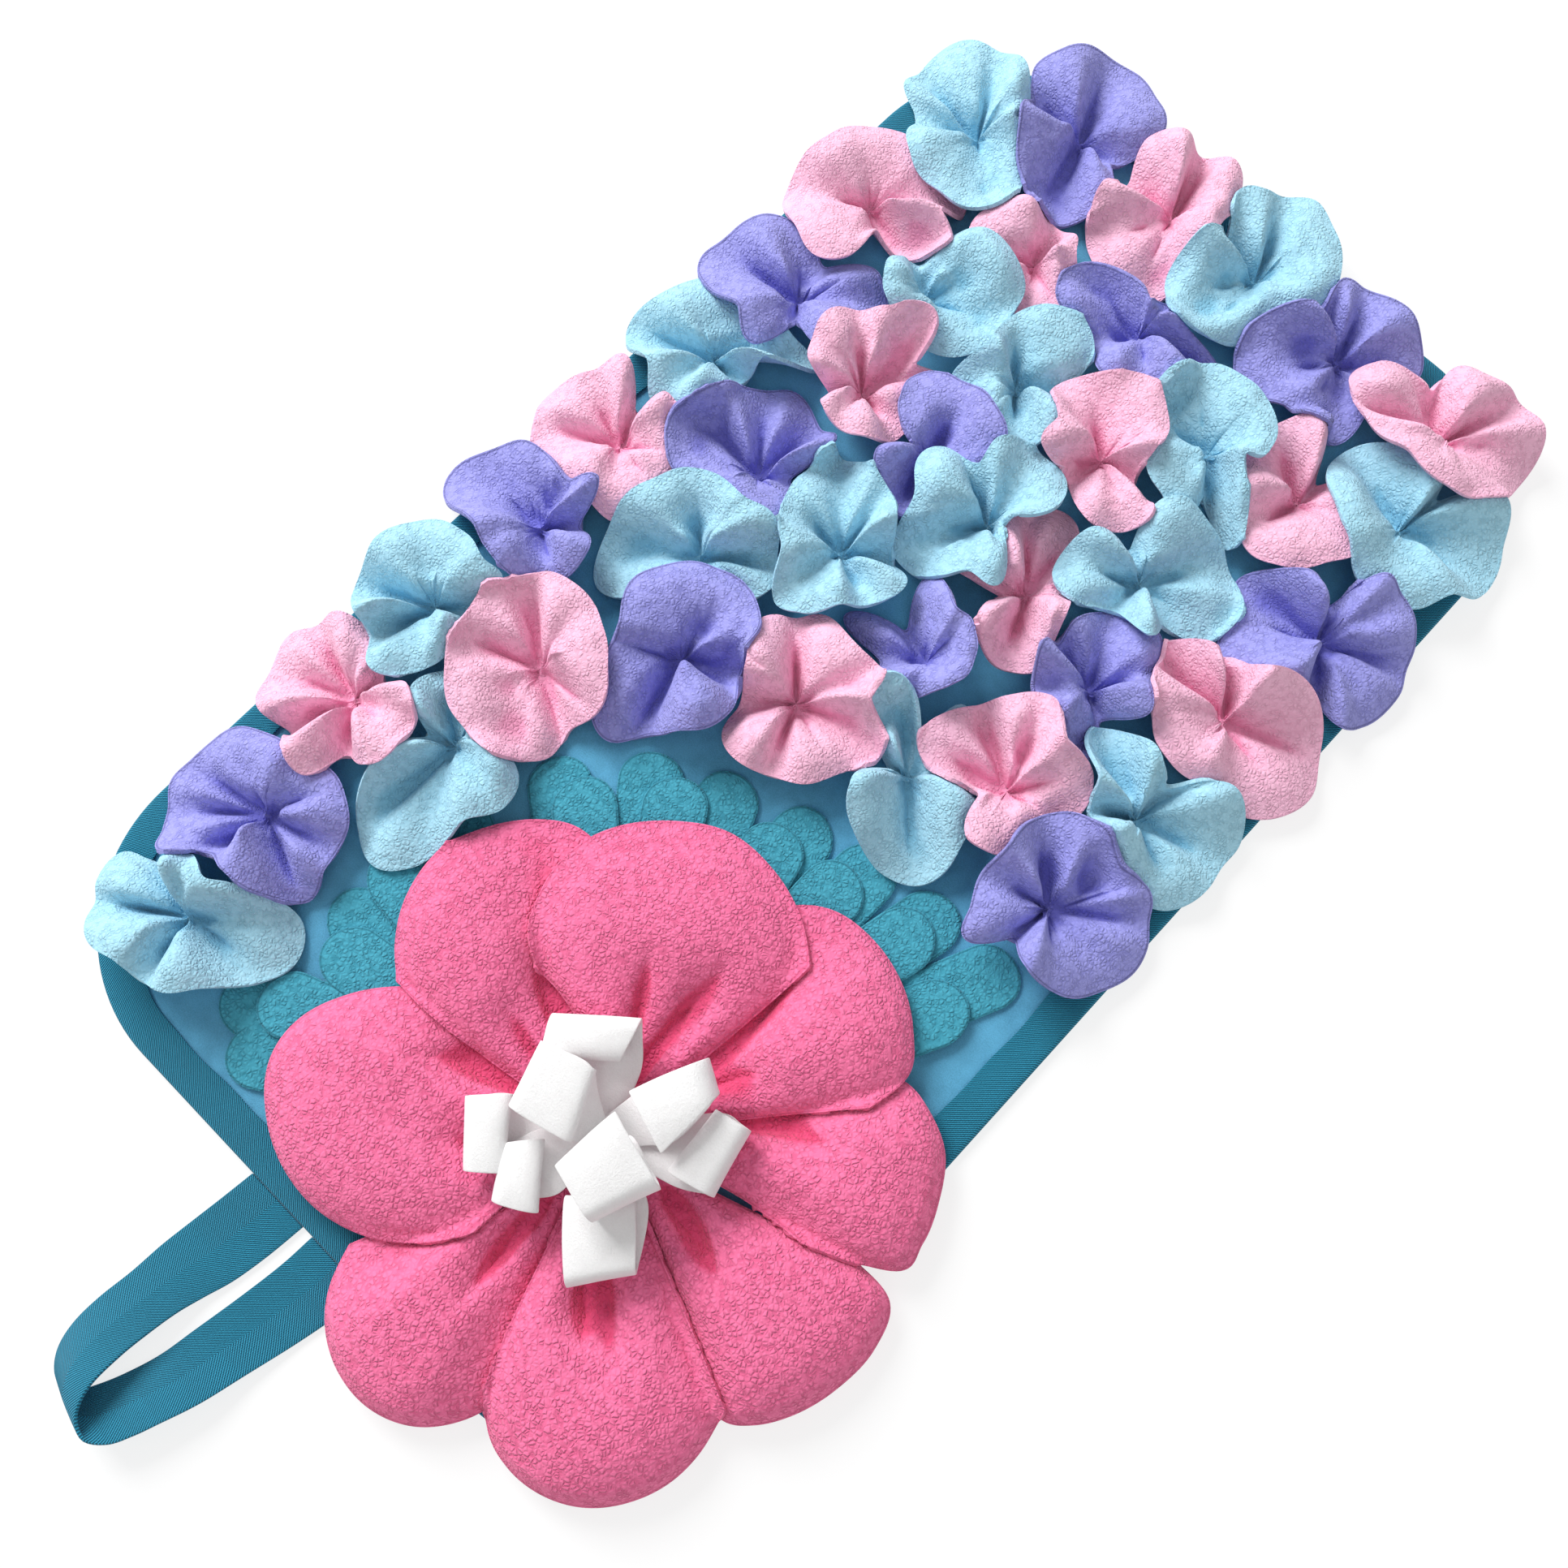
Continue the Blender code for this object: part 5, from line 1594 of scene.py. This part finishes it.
@dataclass
class Strap:
    """The carrying strap: the binding's tape, doubled back, lying on the floor and leaning at its turn."""

    samples: int = 150
    columns: int = 14
    width: float = 34.0
    thickness: float = 1.6

    def build(self) -> bpy.types.Object:
        """Makes the strap.

        Returns:
            The piece.
        """
        edges = np.array(STRAP_EDGES, float)
        steps = run_lengths(edges.mean(axis=1))
        length = float(steps[-1])
        bm, grid = unit_grid(self.samples, self.columns)
        knot = np.interp(grid[:, 0] * length, steps, np.arange(len(steps)))
        floor, free = open_curve(edges[:, 0], knot), open_curve(edges[:, 1], knot)
        share = grid[:, 1]
        points = floor + (free - floor) * share[:, None]
        lean = np.clip((free[:, 2] - floor[:, 2]) / 14.0, 0, 1)
        points[:, 2] += 1.2 * np.sin(math.pi * share) * lean
        points[:, 2] = np.maximum(points[:, 2], self.thickness / 2 + 0.15)
        place_points(bm, points)
        width = np.linalg.norm(free - floor, axis=1)
        Mat.tape_uv(bm, np.column_stack([(share - 0.5) * width, grid[:, 0] * length]))
        store(bm, "inset", FAR_INSIDE)
        piece = finish_cloth("carrying_strap", bm, TAPE_CLOTH, "strap", self.thickness, 0.0, round_edge=0.3)
        return piece


# ---------------------------------------------------------------- studio


@dataclass
class Studio:
    """A pale floor, soft light and the camera."""

    camera_place: tuple[float, float, float] = (0.1163, -0.1488, 0.6444)
    aim: tuple[float, float, float] = (0.0175, -0.0456, 0.0)
    lens: float = 32.24
    ambient: float = 0.47
    floor_grey: float = 0.26
    floor_glow: float = 0.76

    def floor(self) -> None:
        """Adds the floor, which isn't part of the mat."""
        bm = bmesh.new()
        bmesh.ops.create_grid(bm, x_segments=4, y_segments=4, size=6.0)
        mesh = bpy.data.meshes.new("floor")
        bm.to_mesh(mesh)
        bm.free()
        plane = bpy.data.objects.new("floor", mesh)
        bpy.context.scene.collection.objects.link(plane)
        material = bpy.data.materials.new("Pale floor")
        material.use_nodes = True
        shader = material.node_tree.nodes["Principled BSDF"]
        shader.inputs["Base Color"].default_value = (*(self.floor_grey,) * 3, 1.0)
        shader.inputs["Emission Color"].default_value = (1.0, 1.0, 1.0, 1.0)
        shader.inputs["Emission Strength"].default_value = self.floor_glow
        shader.inputs["Roughness"].default_value = 0.9
        shader.inputs["Specular IOR Level"].default_value = 0.0
        mesh.materials.append(material)

    def light(self, name: str, place: tuple[float, float, float], size: float, power: float) -> None:
        """Adds a square soft light that points at the mat.

        Args:
            name: Its name.
            place: Where it hangs, in metres.
            size: Its side, in metres.
            power: Its power, in watts.
        """
        lamp = bpy.data.lights.new(name, "AREA")
        lamp.size = size
        lamp.energy = power
        holder = bpy.data.objects.new(name, lamp)
        holder.location = place
        holder.rotation_euler = (-Vector(place)).to_track_quat("-Z", "Y").to_euler()
        bpy.context.scene.collection.objects.link(holder)

    def build(self) -> None:
        """Sets up the floor, lights, world and camera."""
        scene = bpy.context.scene
        self.floor()
        self.light("key", place=(-3.14, 0.61, 2.2), size=2.0, power=178.0)
        self.light("fill", place=(1.8, -1.8, 4.0), size=3.0, power=16.0)
        world = bpy.data.worlds.new("Soft room")
        world.use_nodes = True
        world.node_tree.nodes["Background"].inputs["Color"].default_value = (1.0, 1.0, 1.0, 1.0)
        world.node_tree.nodes["Background"].inputs["Strength"].default_value = self.ambient
        scene.world = world
        scene.view_settings.view_transform = "Standard"
        camera = bpy.data.cameras.new("camera")
        camera.sensor_width = 36.0
        camera.lens = self.lens
        camera.clip_start = 0.01
        holder = bpy.data.objects.new("camera", camera)
        holder.location = self.camera_place
        sight = Vector(self.aim) - Vector(self.camera_place)
        holder.rotation_euler = sight.to_track_quat("-Z", "Y").to_euler()
        scene.collection.objects.link(holder)
        scene.camera = holder


def corners(bounds: tuple) -> list[list[float]]:
    """Returns a box as plain lists of numbers."""
    return [[float(value) for value in corner] for corner in bounds]


def main() -> None:
    """Builds the mat from the floor up and reports each piece."""
    logging.basicConfig(level=logging.INFO, format="%(message)s")
    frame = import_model()
    for make in (pebble_group, twill_group, fibre_group):
        make()
    Studio().build()
    ground = Ground()
    mat = Mat()
    pieces = [mat.felt(ground), mat.binding(ground)]
    pieces += [layer.build(ground) for layer in TONGUES]
    pieces += [SmallFlower(row).build(frame, ground) for row in FLOWERS]
    pieces += [LargePetal(row).build(ground) for row in PETALS]
    pieces += [strip.build() for strip in STRIPS]
    pieces.append(Strap().build())
    for piece in pieces:
        LOG.info("%s: %d faces before its thickness", piece.name, len(piece.data.polygons))


if __name__ == "__main__":
    main()
